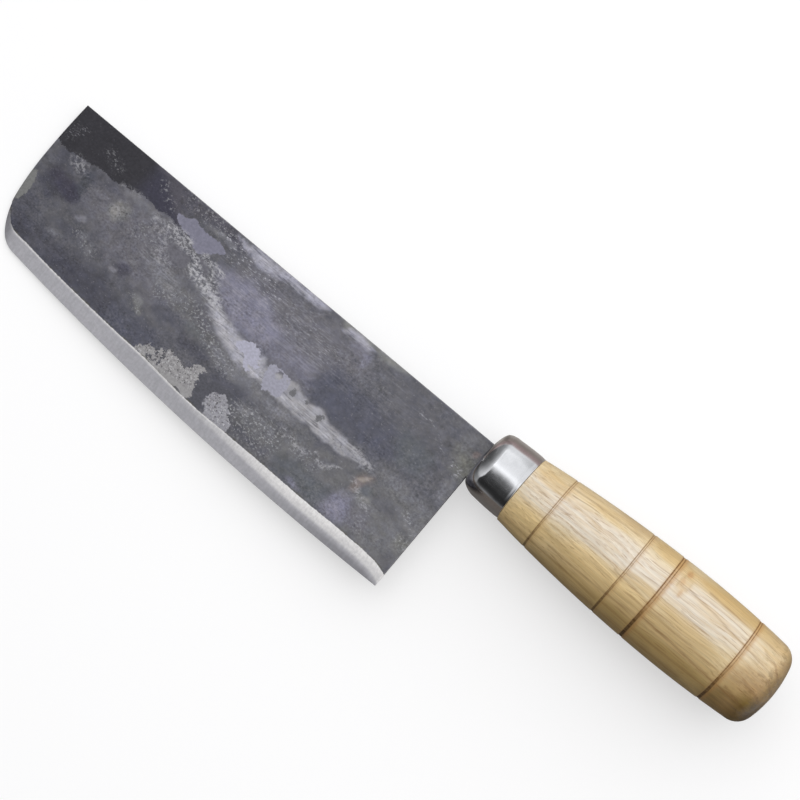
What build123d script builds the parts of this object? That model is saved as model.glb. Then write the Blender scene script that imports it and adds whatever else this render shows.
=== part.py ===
from build123d import *
from math import acos, atan2, cos, degrees, hypot, radians, sin, sqrt, tan
import os

# A Chinese cleaver, lying on its side. Sizes are in millimetres, angles in degrees.
# Each piece is drawn in the knife's own frame: x along the handle's axis towards the butt, y towards
# the spine, z out of the blade's upper cheek, and the origin at the middle of the ferrule's front.

# Blade
blade_length = 195.4
spine_height = 5.85
edge_depth = 60.1
edge_rise = 8.25
spine_thickness = 3.0
tip_thickness = 2.65
shoulder_thickness = 1.7
bevel_width = 7.2
edge_land = 0.2
corner_radius = 0.5
# Share of the blade's length, from the heel, at which the cutting edge is lowest
edge_low_share = 0.252
# The front edge is four arcs in a row, in shares of the blade's whole depth, with the turns of two
front_drop_share = 0.363
front_upper_share = 5.0
front_lower_share = 1.81
front_toe_share = 0.45
front_lower_turn = 8.5
front_toe_turn = 36.0
# The flat ground on the toe starts this share of the toe's radius in from its arc
toe_flat_share = 0.38
toe_flat_angle = 51.0

# Neck and tang, forged in one with the blade
neck_thickness = 2.6
neck_drop = 9.3
neck_length = 5.4
neck_corner = 1.2
tang_width = 8.4
tang_tip_width = 5.0
tang_tip_thickness = 2.0
# Room left in the drilled hole in front of the tang's tip, and the wood left behind the hole
tang_room = 10.0
butt_cover = 24.5

# Ferrule, a pressed steel cap
ferrule_length = 17.8
ferrule_front_radius = 12.95
ferrule_rear_radius = 13.3
ferrule_wall = 0.8
nose_radius = 3.2
nose_turn = 50.0
cap_radius = 8.8
rim_chamfer = 0.25

# Handle
handle_length = 127.9
# The wood is turned a little askew to the ferrule's axis, about a share of the handle's length
handle_cant = 0.66
cant_share = 0.33
collar_radius = 13.4
belly_share = 0.688
belly_radius = 17.72
butt_setback = 6.9
butt_radius = 16.2
dome_radius = 44.0
butt_corner = 6.8
# How far the spigot's face stands behind the end of the ferrule's rounded front
spigot_setback = 0.6
spigot_chamfer = 0.6
groove_shares = [0.244, 0.494, 0.594, 0.855]
groove_widths = [1.1, 1.2, 1.6, 1.3]
groove_depth = 0.5
bore_radius = 5.0
drill_point_angle = 118.0

# Clearance between pieces that seat on each other, and how far a cut runs past what it cuts
seat_gap = 0.05
overrun = 4.0
settle_rounds = 40


def at_angle(centre, distance, angle):
    return (centre[0] + distance * cos(radians(angle)), centre[1] + distance * sin(radians(angle)))


def arc_about(centre, radius, start, end):
    points = [at_angle(centre, radius, angle) for angle in (start, (start + end) / 2, end)]
    return ThreePointArc(*points)


# Places along the handle's axis that follow from the driving dimensions
collar_place = ferrule_length + seat_gap
cap_end = nose_radius * (1 - cos(radians(nose_turn))) + cap_radius * cos(radians(nose_turn))
spigot_place = cap_end + spigot_setback
belly_place = handle_length * belly_share
butt_place = handle_length - butt_setback
cant_place = handle_length * cant_share
bore_end = handle_length - butt_cover
tang_length = bore_end - tang_room - neck_length

# Values of the blade's outline that follow from the driving dimensions.
# Angles of the outline's arcs are measured from +x, so the front edge is near 180 and the edge near 270.
blade_depth = spine_height + edge_depth
edge_low = -blade_length * edge_low_share
edge_run = blade_length + edge_low
edge_radius = (edge_run**2 + edge_rise**2) / (2 * edge_rise)
edge_centre = (edge_low, edge_radius - edge_depth)
front_middle = spine_height - blade_depth * front_drop_share
upper_radius = blade_depth * front_upper_share
lower_radius = blade_depth * front_lower_share
approach_radius = blade_depth * front_toe_share
upper_reach = sqrt(upper_radius**2 - (spine_height - front_middle) ** 2)
upper_centre = (upper_reach - blade_length, front_middle)
front_most = upper_centre[0] - upper_radius
lower_centre = (front_most + lower_radius, front_middle)
lower_end = 180 + front_lower_turn
approach_centre = at_angle(lower_centre, lower_radius - approach_radius, lower_end)
toe_start = 180 + front_toe_turn
toe_corner = at_angle(approach_centre, approach_radius, toe_start)


# The toe's arc is tangent both to the arc above it and to the cutting edge
def find_toe():
    across = Vector(*toe_corner) - Vector(*edge_centre)
    outward = Vector(*at_angle((0, 0), 1, toe_start))
    radius = (edge_radius**2 - across.dot(across)) / (2 * (edge_radius - across.dot(outward)))
    return at_angle(toe_corner, -radius, toe_start), radius


toe_centre, toe_radius = find_toe()
toe_end = 360 + degrees(atan2(toe_centre[1] - edge_centre[1], toe_centre[0] - edge_centre[0]))


def edge_height(x):
    return edge_centre[1] - sqrt(edge_radius**2 - (x - edge_centre[0]) ** 2)


# Half the thickness between the blade's two flat cheeks, which taper to the tip and to the edge
def cheek_height(x, y):
    shoulder_drop = spine_height - edge_height(0) - bevel_width
    towards_tip = (spine_thickness - tip_thickness) / blade_length
    towards_edge = (spine_thickness - shoulder_thickness) / shoulder_drop
    return (spine_thickness + towards_tip * x - towards_edge * (spine_height - y)) / 2


def blade_outline():
    tip_angle = 180 - degrees(acos(upper_reach / upper_radius))
    heel_angle = 360 - degrees(acos((-seat_gap - edge_centre[0]) / edge_radius))
    upper = arc_about(upper_centre, upper_radius, tip_angle, 180)
    lower = arc_about(lower_centre, lower_radius, 180, lower_end)
    approach = arc_about(approach_centre, approach_radius, lower_end, toe_start)
    toe = arc_about(toe_centre, toe_radius, toe_start, toe_end)
    edge = arc_about(edge_centre, edge_radius, toe_end, heel_angle)
    spine = Line((-seat_gap, spine_height), upper @ 0)
    heel = Line(edge @ 1, (-seat_gap, spine_height))
    outline = make_face([spine, upper, lower, approach, toe, edge, heel])
    sharp = [outline.vertices().sort_by_distance(corner)[0] for corner in (upper @ 0, edge @ 1)]
    return fillet(sharp, corner_radius)


# A block that removes all that lies on the outer side of a plane
def beyond(point, normal):
    size = 2 * (blade_length + blade_depth)
    block = Box(size, size, size, align=(Align.CENTER, Align.CENTER, Align.MIN))
    return Plane(origin=point, z_dir=normal) * block


def cheek_cut():
    corners = [(0, spine_height), (-blade_length, spine_height), (0, -edge_depth)]
    a, b, c = [Vector(x, y, cheek_height(x, y)) for x, y in corners]
    return beyond(a, (b - a).cross(c - a))


# The bevel is a cone about the middle of the cutting edge's arc
def bevel_cut():
    shoulder = cheek_height(0, edge_height(0) + bevel_width)
    rise = (shoulder - edge_land / 2) / bevel_width
    inner = edge_radius - 2 * bevel_width
    outer = edge_radius + overrun
    top = edge_land / 2 + 2 * bevel_width * rise
    points = [(outer, edge_land / 2), (edge_radius, edge_land / 2), (inner, top), (outer, top)]
    profile = Plane.XZ * make_face(Polyline(*points, close=True))
    return Pos(*edge_centre) * revolve(profile, Axis.Z)


# The toe is ground flat across the corner, a little steeper than the bevel
def toe_cut():
    outward = at_angle((0, 0), 1, 180 + toe_flat_angle)
    inner = at_angle(toe_centre, toe_radius * (1 - toe_flat_share), 180 + toe_flat_angle)
    outer = at_angle(toe_centre, toe_radius, 180 + toe_flat_angle)
    rise = cheek_height(*inner) - edge_land / 2
    run = toe_radius * toe_flat_share
    return beyond(Vector(*outer, edge_land / 2), Vector(outward[0] * rise, outward[1] * rise, run))


# The neck and the tang behind it, grown by a clearance where they stand for the room they need
def tang_shape(clearance=0):
    grow = 2 * clearance
    neck_top = spine_height + clearance
    neck_bottom = -neck_drop - clearance
    start = -overrun
    end = neck_length + clearance
    middle = Pos((start + end) / 2, (neck_top + neck_bottom) / 2)
    outline = middle * Rectangle(end - start, neck_top - neck_bottom)
    outline = fillet(outline.vertices().group_by(Axis.X)[-1], neck_corner)
    neck = extrude(outline, neck_thickness / 2 + clearance, both=True)
    root = Plane(origin=(neck_length, 0, 0), x_dir=(0, 1, 0), z_dir=(1, 0, 0))
    tip = root.offset(tang_length + clearance)
    wide = root * Rectangle(tang_width + grow, neck_thickness + grow)
    narrow = tip * Rectangle(tang_tip_width + grow, tang_tip_thickness + grow)
    return neck + loft([wide.face(), narrow.face()], ruled=True)


def make_blade():
    plate = extrude(blade_outline(), spine_thickness, both=True)
    for cut in (cheek_cut(), bevel_cut(), toe_cut()):
        plate = plate - cut - mirror(cut, Plane.XY)
    return plate + tang_shape()


# The ferrule's outer surface, or its inner one at a depth below it, from its front to its rear
def cap_curve(depth):
    lift = sin(radians(nose_turn))
    nose_height = ferrule_front_radius - cap_radius * (1 - lift) - nose_radius * lift
    nose_centre = (nose_radius, nose_height)
    cap_centre = (cap_end, ferrule_front_radius - cap_radius)
    nose = arc_about(nose_centre, nose_radius - depth, 180, 180 - nose_turn)
    cap = arc_about(cap_centre, cap_radius - depth, 180 - nose_turn, 90)
    side = Line(cap @ 1, (ferrule_length, ferrule_rear_radius - depth))
    return [nose, cap, side]


def wall_radius(x):
    nose, cap, side = cap_curve(ferrule_wall)
    start, end = side @ 0, side @ 1
    return start.Y + (end.Y - start.Y) * (x - start.X) / (end.X - start.X)


def make_ferrule():
    outer = cap_curve(0)
    inner = cap_curve(ferrule_wall)
    front = Line((ferrule_wall, 0), (0, 0)) + Line((0, 0), outer[0] @ 0)
    rear = Line(outer[-1] @ 1, inner[-1] @ 1)
    floor = Line(inner[0] @ 0, (ferrule_wall, 0))
    profile = make_face([*front.edges(), *outer, rear, *inner, floor])
    rim = profile.vertices().sort_by_distance(outer[-1] @ 1)[0]
    cap = revolve(chamfer(rim, rim_chamfer), Axis.X)
    return cap - tang_shape(seat_gap)


# Radius of the turned wood at a place behind the ferrule
def swell(end_place, end_radius):
    run = belly_place - end_place
    drop = belly_radius - end_radius
    radius = (run**2 + drop**2) / (2 * drop)
    return radius, (belly_place, belly_radius - radius)


front_swell = swell(collar_place, collar_radius)
rear_swell = swell(butt_place, butt_radius)


def wood_radius(x):
    radius, centre = front_swell if x < belly_place else rear_swell
    return centre[1] + sqrt(radius**2 - (x - centre[0]) ** 2)


# The side of the wood runs on behind the belly until it meets the domed butt
def butt_meeting():
    radius, centre = rear_swell
    dome_centre = handle_length - dome_radius
    gap = hypot(centre[0] - dome_centre, centre[1])
    bearing = atan2(centre[1], centre[0] - dome_centre)
    angle = bearing + acos((gap**2 + dome_radius**2 - radius**2) / (2 * gap * dome_radius))
    return (dome_centre + dome_radius * cos(angle), dome_radius * sin(angle))


def wood_profile():
    corner = butt_meeting()
    dome_centre = (handle_length - dome_radius, 0)
    dome_turn = degrees(atan2(corner[1], corner[0] - dome_centre[0]))
    start = collar_place - overrun
    belly = (belly_place, belly_radius)
    halfway = (start + belly_place) / 2
    behind = (belly_place + corner[0]) / 2
    front = ThreePointArc((start, wood_radius(start)), (halfway, wood_radius(halfway)), belly)
    side = ThreePointArc(belly, (behind, wood_radius(behind)), corner)
    dome = arc_about(dome_centre, dome_radius, dome_turn, 0)
    middle = Polyline(dome @ 1, (start, 0), front @ 0)
    profile = make_face([front, side, dome, *middle.edges()])
    return fillet(profile.vertices().sort_by_distance(corner)[0], butt_corner)


# The spigot, true to the ferrule, which it fills from behind
def make_spigot():
    front = (spigot_place, wall_radius(spigot_place) - seat_gap)
    rear = (collar_place + spigot_chamfer, wall_radius(ferrule_length) - seat_gap)
    profile = make_face(Polyline((spigot_place, 0), front, rear, (rear[0], 0), close=True))
    return revolve(chamfer(profile.vertices().sort_by_distance(front)[0], spigot_chamfer), Axis.X)


def groove_cut(place, width):
    surface = wood_radius(place)
    points = [(place, surface - groove_depth), (place - width, surface + groove_depth)]
    points.append((place + width, surface + groove_depth))
    return revolve(make_face(Polyline(*points, close=True)), Axis.X)


# The hole drilled for the tang, from the spigot's face to the drill's point
def bore_shape(start, radius):
    point = radius / tan(radians(drill_point_angle / 2))
    outline = [(start, 0), (start, radius), (bore_end, radius), (bore_end + point, 0)]
    return revolve(make_face(Polyline(*outline, close=True)), Axis.X)


def make_handle():
    turned = revolve(wood_profile(), Axis.X)
    for share, width in zip(groove_shares, groove_widths):
        turned = turned - groove_cut(handle_length * share, width)
    turned = Pos(cant_place) * Rot(0, 0, handle_cant) * Pos(-cant_place) * turned
    wood = turned - beyond((collar_place, 0, 0), (-1, 0, 0)) + make_spigot()
    return wood - bore_shape(spigot_place - overrun, bore_radius)


# The set resin fills the ferrule in front of the wood and the bore round the tang
def make_resin():
    room = cap_curve(ferrule_wall + seat_gap)
    front = ferrule_wall + seat_gap
    back = spigot_place - seat_gap
    lining = make_face([*room, Polyline(room[-1] @ 1, (ferrule_length, 0), (front, 0), room[0] @ 0)])
    filling = revolve(lining, Axis.X) - beyond((back, 0, 0), (1, 0, 0))
    return filling + bore_shape(front, bore_radius - seat_gap) - tang_shape(seat_gap)


# The knife lies on the under side of the front edge, where its lower arc gives way to the toe's, and on
# the swell of the handle. The plane holds the edge's direction there, and the handle's point of contact
# rolls to where the swell is lowest.
def rest_normal():
    x, y = at_angle(lower_centre, lower_radius, lower_end)
    outward = at_angle((0, 0), 1, lower_end)
    across, along = -outward[1], outward[0]
    fall = cheek_height(x + across, y + along) - cheek_height(x, y)
    front = Vector(x, y, -cheek_height(x, y))
    direction = Vector(across, along, -fall)
    contact = Vector(belly_place, 0, -belly_radius)
    for _ in range(settle_rounds):
        normal = (contact - front).cross(direction).normalized()
        normal = normal if normal.Z > 0 else -normal
        side = hypot(normal.Y, normal.Z)
        radius, centre = front_swell
        x = centre[0] - radius * normal.X / side
        height = wood_radius(x)
        contact = Vector(x, -height * normal.Y / side, -height * normal.Z / side)
    return normal


pieces = {
    "blade": make_blade(),
    "ferrule": make_ferrule(),
    "handle": make_handle(),
    "tang_resin": make_resin(),
}

os.makedirs("parts", exist_ok=True)
up = rest_normal()
rest = Plane(origin=(0, 0, 0), x_dir=Vector(0, 1, 0).cross(up), z_dir=up)
laid = {name: rest.to_local_coords(piece) for name, piece in pieces.items()}
boxes = [piece.bounding_box() for piece in laid.values()]
middle_x = (min(box.min.X for box in boxes) + max(box.max.X for box in boxes)) / 2
middle_y = (min(box.min.Y for box in boxes) + max(box.max.Y for box in boxes)) / 2
origin = Pos(-middle_x, -middle_y, -min(box.min.Z for box in boxes))
for name, piece in laid.items():
    export_step(origin * piece, f"parts/{name}.step")
print("rest plane's normal", up, "origin", origin.position)
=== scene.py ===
import bpy
import bmesh
import numpy as np
from math import cos, pi, radians, sin, sqrt, tan
from mathutils import Matrix, Vector, noise


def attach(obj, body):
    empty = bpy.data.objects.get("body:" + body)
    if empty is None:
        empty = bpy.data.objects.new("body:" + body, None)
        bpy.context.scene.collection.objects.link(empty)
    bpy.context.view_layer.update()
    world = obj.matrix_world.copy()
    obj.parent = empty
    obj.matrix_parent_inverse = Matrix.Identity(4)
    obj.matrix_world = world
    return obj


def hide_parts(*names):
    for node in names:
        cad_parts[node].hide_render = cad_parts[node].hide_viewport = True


# A Chinese cleaver: a forged blade with its scale left on, a pressed ferrule and a turned wooden handle.
# It lies on its side on a pale table, and is drawn in millimetres in the knife's own frame, as in the CAD:
# x runs towards the butt, y towards the spine and z out of the blade's upper cheek.

scene = bpy.context.scene
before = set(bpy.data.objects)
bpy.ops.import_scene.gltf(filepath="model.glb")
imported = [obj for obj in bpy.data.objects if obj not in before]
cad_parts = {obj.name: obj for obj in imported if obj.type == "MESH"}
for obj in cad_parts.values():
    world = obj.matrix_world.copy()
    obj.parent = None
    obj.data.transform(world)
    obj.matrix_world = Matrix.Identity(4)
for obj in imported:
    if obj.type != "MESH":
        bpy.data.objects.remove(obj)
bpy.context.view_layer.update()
print("frame loaded with nodes", sorted(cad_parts))

knifeTurn = np.array((
    (0.998158, 0.0, -0.060671),
    (-0.001223, 0.999797, -0.020114),
    (0.060659, 0.020151, 0.997955),
))
knifeOrigin = np.array((0.034115, 0.020936, 0.013402))
millimetre = 0.001


def toTable(points):
    return np.asarray(points, float) @ knifeTurn.T * millimetre + knifeOrigin


def ease(low, high, value):
    share = np.clip((value - low) / (high - low), 0, 1)
    return share * share * (3 - 2 * share)


# Linear colour of a paint that is written as it looks on a screen
def linear(paint):
    value = np.array(paint, float) / 255
    return np.where(value <= 0.04045, value / 12.92, ((value + 0.055) / 1.055) ** 2.4)


# Lay a paint over tones, by a weight at each point
def layPaint(tone, paint, weight):
    tone += (linear(paint) - tone) * weight[:, None]


# Share of a soft tilted oval at each point: 1 in its core, 0 outside
def ovalShare(x, y, oval, core):
    middleX, middleY, long, wide, tilt = oval
    turn = radians(tilt)
    along = (x - middleX) * cos(turn) + (y - middleY) * sin(turn)
    across = (y - middleY) * cos(turn) - (x - middleX) * sin(turn)
    return ease(1.35, core, np.hypot(along / long, across / wide))


def lineDistance(x, y, line):
    best = np.full(np.shape(x), 1e6)
    for (startX, startY), (endX, endY) in zip(line[:-1], line[1:]):
        runX, runY = endX - startX, endY - startY
        share = np.clip(((x - startX) * runX + (y - startY) * runY) / (runX**2 + runY**2 + 1e-9), 0, 1)
        best = np.minimum(best, np.hypot(x - startX - share * runX, y - startY - share * runY))
    return best


# Distance to an outline, above zero inside it
def reach(x, y, outline):
    loop = list(outline) + [outline[0]]
    inside = np.zeros(np.shape(x), bool)
    for (startX, startY), (endX, endY) in zip(loop[:-1], loop[1:]):
        crosses = (startY > y) != (endY > y)
        inside ^= crosses & (x < (endX - startX) * (y - startY) / (endY - startY + 1e-9) + startX)
    return np.where(inside, 1, -1) * lineDistance(x, y, loop)


# Smooth noise at a list of points, from about -1 to 1
def rough(points, size, seed, octaves):
    shift = Vector((seed, seed * 1.7, seed * 0.6))
    return np.array([noise.fractal(Vector(p) / size + shift, 0.9, 2.1, octaves) for p in points.tolist()])


def newObject(name, points, faces):
    mesh = bpy.data.meshes.new(name)
    mesh.from_pydata(points, [], faces)
    mesh.validate()
    piece = bpy.data.objects.new(name, mesh)
    scene.collection.objects.link(piece)
    return piece


def makeMesh(name, points, faces):
    piece = newObject(name, toTable(points).tolist(), [tuple(face) for face in faces])
    addField(piece, "place", points)
    return piece


def faceOutward(mesh):
    build = bmesh.new()
    build.from_mesh(mesh)
    bmesh.ops.recalc_face_normals(build, faces=build.faces)
    build.to_mesh(mesh)
    build.free()


# A mesh's points, in the knife's frame
def knifePoints(mesh):
    points = np.array([vertex.co for vertex in mesh.vertices])
    return ((points - knifeOrigin) / millimetre) @ knifeTurn


def addField(piece, name, values):
    values = np.asarray(values, float)
    kind, key = ("FLOAT", "value") if values.ndim == 1 else ("FLOAT_VECTOR", "vector")
    field = piece.data.attributes.new(name, kind, "POINT")
    field.data.foreach_set(key, values.astype(np.float32).ravel())


def newMaterial(name, shaderKind="ShaderNodeBsdfPrincipled"):
    material = bpy.data.materials.new(name)
    material.use_nodes = True
    tree = material.node_tree
    tree.nodes.clear()
    output = tree.nodes.new("ShaderNodeOutputMaterial")
    shader = tree.nodes.new(shaderKind)
    tree.links.new(shader.outputs[0], output.inputs["Surface"])
    return material, tree, shader


def setInput(tree, socket, value):
    if isinstance(value, bpy.types.NodeSocket):
        tree.links.new(value, socket)
    elif value is not None:
        socket.default_value = value


def readField(tree, name, kind="Fac"):
    node = tree.nodes.new("ShaderNodeAttribute")
    node.attribute_name = name
    return node.outputs[kind]


def calc(tree, operation, first, second=None, third=None):
    node = tree.nodes.new("ShaderNodeMath")
    node.operation = operation
    for socket, value in zip(node.inputs, (first, second, third)):
        setInput(tree, socket, value)
    return node.outputs[0]


def times(tree, *values):
    return calc(tree, "MULTIPLY", *values)


def plus(tree, *values):
    return calc(tree, "ADD", *values)


def minus(tree, *values):
    return calc(tree, "SUBTRACT", *values)


def timesPlus(tree, *values):
    return calc(tree, "MULTIPLY_ADD", *values)


def stretchPlace(tree, place, scale, shift):
    node = tree.nodes.new("ShaderNodeMapping")
    setInput(tree, node.inputs["Vector"], place)
    node.inputs["Scale"].default_value = scale
    node.inputs["Location"].default_value = shift
    return node.outputs[0]


def addNoise(tree, place, scale, detail, roughness, distortion=0.0):
    node = tree.nodes.new("ShaderNodeTexNoise")
    setInput(tree, node.inputs["Vector"], place)
    node.inputs["Scale"].default_value = scale
    node.inputs["Detail"].default_value = detail
    node.inputs["Roughness"].default_value = roughness
    node.inputs["Distortion"].default_value = distortion
    return node.outputs["Fac"]


# Noise over a place that is stretched and shifted first
def stretchNoise(tree, place, scale, detail, roughness, shift=(0, 0, 0), distortion=0.0):
    return addNoise(tree, stretchPlace(tree, place, scale, shift), 1, detail, roughness, distortion)


# Distance to the nearest of many scattered points
def addCells(tree, place, scale):
    node = tree.nodes.new("ShaderNodeTexVoronoi")
    setInput(tree, node.inputs["Vector"], place)
    node.inputs["Scale"].default_value = scale
    return node.outputs["Distance"]


def spread(tree, value, low, high, newLow=0.0, newHigh=1.0):
    node = tree.nodes.new("ShaderNodeMapRange")
    node.interpolation_type = "SMOOTHSTEP"
    setInput(tree, node.inputs["Value"], value)
    node.inputs["From Min"].default_value = low
    node.inputs["From Max"].default_value = high
    node.inputs["To Min"].default_value = newLow
    node.inputs["To Max"].default_value = newHigh
    return node.outputs["Result"]


def mixPaint(tree, factor, first, second, blend="MIX"):
    node = tree.nodes.new("ShaderNodeMix")
    node.data_type = "RGBA"
    node.blend_type = blend
    sockets = [socket for socket in node.inputs if socket.type == "RGBA"]
    setInput(tree, node.inputs[0], factor)
    for socket, value in zip(sockets, (first, second)):
        if isinstance(value, bpy.types.NodeSocket):
            tree.links.new(value, socket)
        else:
            socket.default_value = (*value, 1)
    return [socket for socket in node.outputs if socket.type == "RGBA"][0]


# Multiply a colour by a number
def shadePaint(tree, paint, amount):
    node = tree.nodes.new("ShaderNodeVectorMath")
    node.operation = "SCALE"
    setInput(tree, node.inputs[0], paint)
    setInput(tree, node.inputs["Scale"], amount)
    return node.outputs[0]


def addBump(tree, height, distance, strength):
    node = tree.nodes.new("ShaderNodeBump")
    setInput(tree, node.inputs["Height"], height)
    node.inputs["Distance"].default_value = distance
    node.inputs["Strength"].default_value = strength
    return node.outputs["Normal"]


# The blade's outline, in arcs of centre, radius and angles, and the line where its bevels were ground
bladeShape = {
    "heel": -0.05,
    "spine": 5.85,
    "frontArcs": [
        (-180.608, -42.246, 11.136, 235.0, 216.0), (-165.605, -31.347, 29.68, 216.0, 188.5),
        (-76.90, -18.09, 119.37, 188.5, 180.0), (133.48, -18.09, 329.75, 180.0, 175.837),
    ],
    "edgeArcs": [
        (-180.608, -42.246, 11.136, 235.0, 264.14), (-49.24, 1238.72, 1298.8, 264.14, 272.17),
    ],
    "groundLine": [
        (-196.5, -37.0), (-194.4, -39.0), (-193.0, -41.5), (-191, -43.6), (-189, -45.4), (-187, -46.6),
        (-184, -47.1), (-180, -47.3), (-170, -48.3), (-160, -49.1), (-150, -49.7), (-140, -50.3),
        (-130, -50.7), (-120, -50.9), (-110, -51.7), (-100, -52.5), (-90, -52.9), (-80, -52.7),
        (-60, -52.5), (-40, -52.6), (-30, -52.4), (-26, -52.2), (-12, -52.2), (-5, -52.6), (-2, -53.4),
        (1, -54.4),
    ],
    "spineThickness": 3.0,
    "tipThickness": 2.65,
    "thinning": 0.02248,
    "landThickness": 0.16,
    "bevelBulge": 0.10,
    "spacing": 0.55,
    "spineRound": 0.38,
    "neckEnd": 5.4,
    "neckLow": -9.3,
    "neckHalf": 1.3,
    "neckCorner": 1.2,
    "tangHalfWidth": 4.2,
    "tangTipWidth": 2.5,
    "tangTipHalf": 1.0,
    "tangEnd": 93.4,
    "waveDepth": 0.05,
    "hammerDepth": 0.022,
    "pitDepth": 0.012,
    "paintLevel": 1.19,
    "length": 195.4,
    "bevelBand": 7.4, "bevelSpacing": 0.42,
    "markMiddle": (65, -3.5), "markDistance": 622,  # the marks are drawn as seen from above here
}


def traceArcs(arcs, step=0.1):
    parts = []
    for centreX, centreY, radius, start, end in arcs:
        count = max(3, int(radians(abs(end - start)) * radius / step))
        angle = np.radians(np.linspace(start, end, count))
        parts.append(np.stack((centreX + radius * np.cos(angle), centreY + radius * np.sin(angle)), -1))
    return np.concatenate([parts[0]] + [part[1:] for part in parts[1:]])


# Points at given shares of a line's length
def atShares(line, shares):
    steps = np.hypot(*np.diff(line, axis=0).T)
    run = np.concatenate(([0], np.cumsum(steps)))
    run /= run[-1]
    return np.stack((np.interp(shares, run, line[:, 0]), np.interp(shares, run, line[:, 1])), -1)


def cheekHalf(x, y):
    shape = bladeShape
    taper = (shape["spineThickness"] - shape["tipThickness"]) / shape["length"]
    return (shape["spineThickness"] + taper * x - shape["thinning"] * (shape["spine"] - y)) / 2


def groundOutline():
    return bladeShape["groundLine"] + [(9, -55.4), (9, -75), (-215, -75), (-215, -37.0)]


# Rows of points along the heel: close over the bevel, then wider, with one at each side of neck and tang
def heelRows(lowest):
    shape = bladeShape
    spacing = shape["spacing"]
    marks = [lowest, lowest + shape["bevelBand"], shape["neckLow"],
             -shape["tangHalfWidth"], shape["tangHalfWidth"], shape["spine"]]
    steps = [shape["bevelSpacing"], spacing, spacing, spacing, spacing]
    rows = [lowest]
    for start, end, step in zip(marks[:-1], marks[1:], steps):
        count = max(2, round((end - start) / step))
        rows += list(np.linspace(start, end, count + 1)[1:])
    return np.array(rows)


# The blade's flat pattern: points, quads, and which points belong to the neck and the tang
def bladePattern():
    shape = bladeShape
    edge = traceArcs(shape["edgeArcs"])
    front = traceArcs(shape["frontArcs"])
    heelLow = edge[-1]
    rows = heelRows(heelLow[1])
    rowShares = (rows - rows[0]) / (rows[-1] - rows[0])
    columns = round(shape["length"] / shape["spacing"])
    columnShares = np.linspace(0, 1, columns + 1)
    low = atShares(edge, columnShares)
    high = np.stack((np.linspace(front[-1][0], shape["heel"], columns + 1),
                     np.full(columns + 1, shape["spine"])), -1)
    left = atShares(front, rowShares)
    right = np.stack((np.full(len(rows), shape["heel"]), rows), -1)
    u = columnShares[None, :, None]
    v = rowShares[:, None, None]
    corners = (1 - u) * (1 - v) * low[0] + u * (1 - v) * low[-1] + (1 - u) * v * high[0] + u * v * high[-1]
    grid = (1 - v) * low[None] + v * high[None] + (1 - u) * left[:, None] + u * right[:, None] - corners
    points = [tuple(p) for p in grid.reshape(-1, 2)]
    wide = columns + 1
    ids = np.arange(len(points)).reshape(len(rows), wide)
    quads = [(ids[j, i], ids[j, i + 1], ids[j + 1, i + 1], ids[j + 1, i])
             for j in range(len(rows) - 1) for i in range(columns)]
    neckRows = [j for j, y in enumerate(rows) if y > shape["neckLow"] - 0.01]
    column = {j: ids[j, -1] for j in neckRows}
    for step in range(1, 9):
        fresh = {}
        for j in neckRows:
            margin = min(rows[j] - shape["neckLow"], shape["spine"] - rows[j])
            corner = shape["neckCorner"]
            inset = corner - sqrt(max(0.0, corner**2 - max(0.0, corner - margin) ** 2))
            end = shape["neckEnd"] - inset
            fresh[j] = len(points)
            points.append((shape["heel"] + (end - shape["heel"]) * step / 8, rows[j]))
        quads += [(column[j], fresh[j], fresh[j + 1], column[j + 1]) for j in neckRows[:-1]]
        column = fresh
    neckStart = ids.size
    tangStart = len(points)
    tangRows = [j for j in neckRows if abs(rows[j]) < shape["tangHalfWidth"] + 0.01]
    column = {j: column[j] for j in tangRows}
    count = 44
    for step in range(1, count + 1):
        fresh = {}
        narrowing = 1 - (1 - shape["tangTipWidth"] / shape["tangHalfWidth"]) * step / count
        for j in tangRows:
            fresh[j] = len(points)
            points.append((shape["neckEnd"] + (shape["tangEnd"] - shape["neckEnd"]) * step / count,
                           rows[j] * narrowing))
        quads += [(column[j], fresh[j], fresh[j + 1], column[j + 1]) for j in tangRows[:-1]]
        column = fresh
    return np.array(points), quads, neckStart, tangStart, edge, front


# Points round the outside of the pattern, in order
def rimLoop(quads):
    count = {}
    for quad in quads:
        for start, end in zip(quad, quad[1:] + quad[:1]):
            count[(start, end)] = True
    follow = {start: end for start, end in count if (end, start) not in count}
    loop = [next(iter(follow))]
    while follow[loop[-1]] != loop[0]:
        loop.append(follow[loop[-1]])
    return loop


def bladeHalf(points, neckStart, tangStart, edge, front):
    shape = bladeShape
    x, y = points[:, 0], points[:, 1]
    cheek = cheekHalf(x, y)
    outer = np.concatenate((front[:: 6][::-1][-60:], edge[::8], edge[-1:]))
    land = shape["landThickness"] / 2
    half = cheek.copy()
    ground = reach(x, y, groundOutline())
    near = ground > -0.6
    toOuter = lineDistance(x[near], y[near], [tuple(p) for p in outer])
    toLine = np.maximum(ground[near], 0)
    share = np.where(ground[near] > 0, toOuter / (toOuter + toLine + 1e-6), 1)
    half[near] = land + (cheek[near] - land) * (share + shape["bevelBulge"] * share * (1 - share))
    half[neckStart:] = shape["neckHalf"]
    tang = (x[tangStart:] - shape["neckEnd"]) / (shape["tangEnd"] - shape["neckEnd"])
    half[tangStart:] = shape["neckHalf"] + (shape["tangTipHalf"] - shape["neckHalf"]) * tang
    return half, ground


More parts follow.
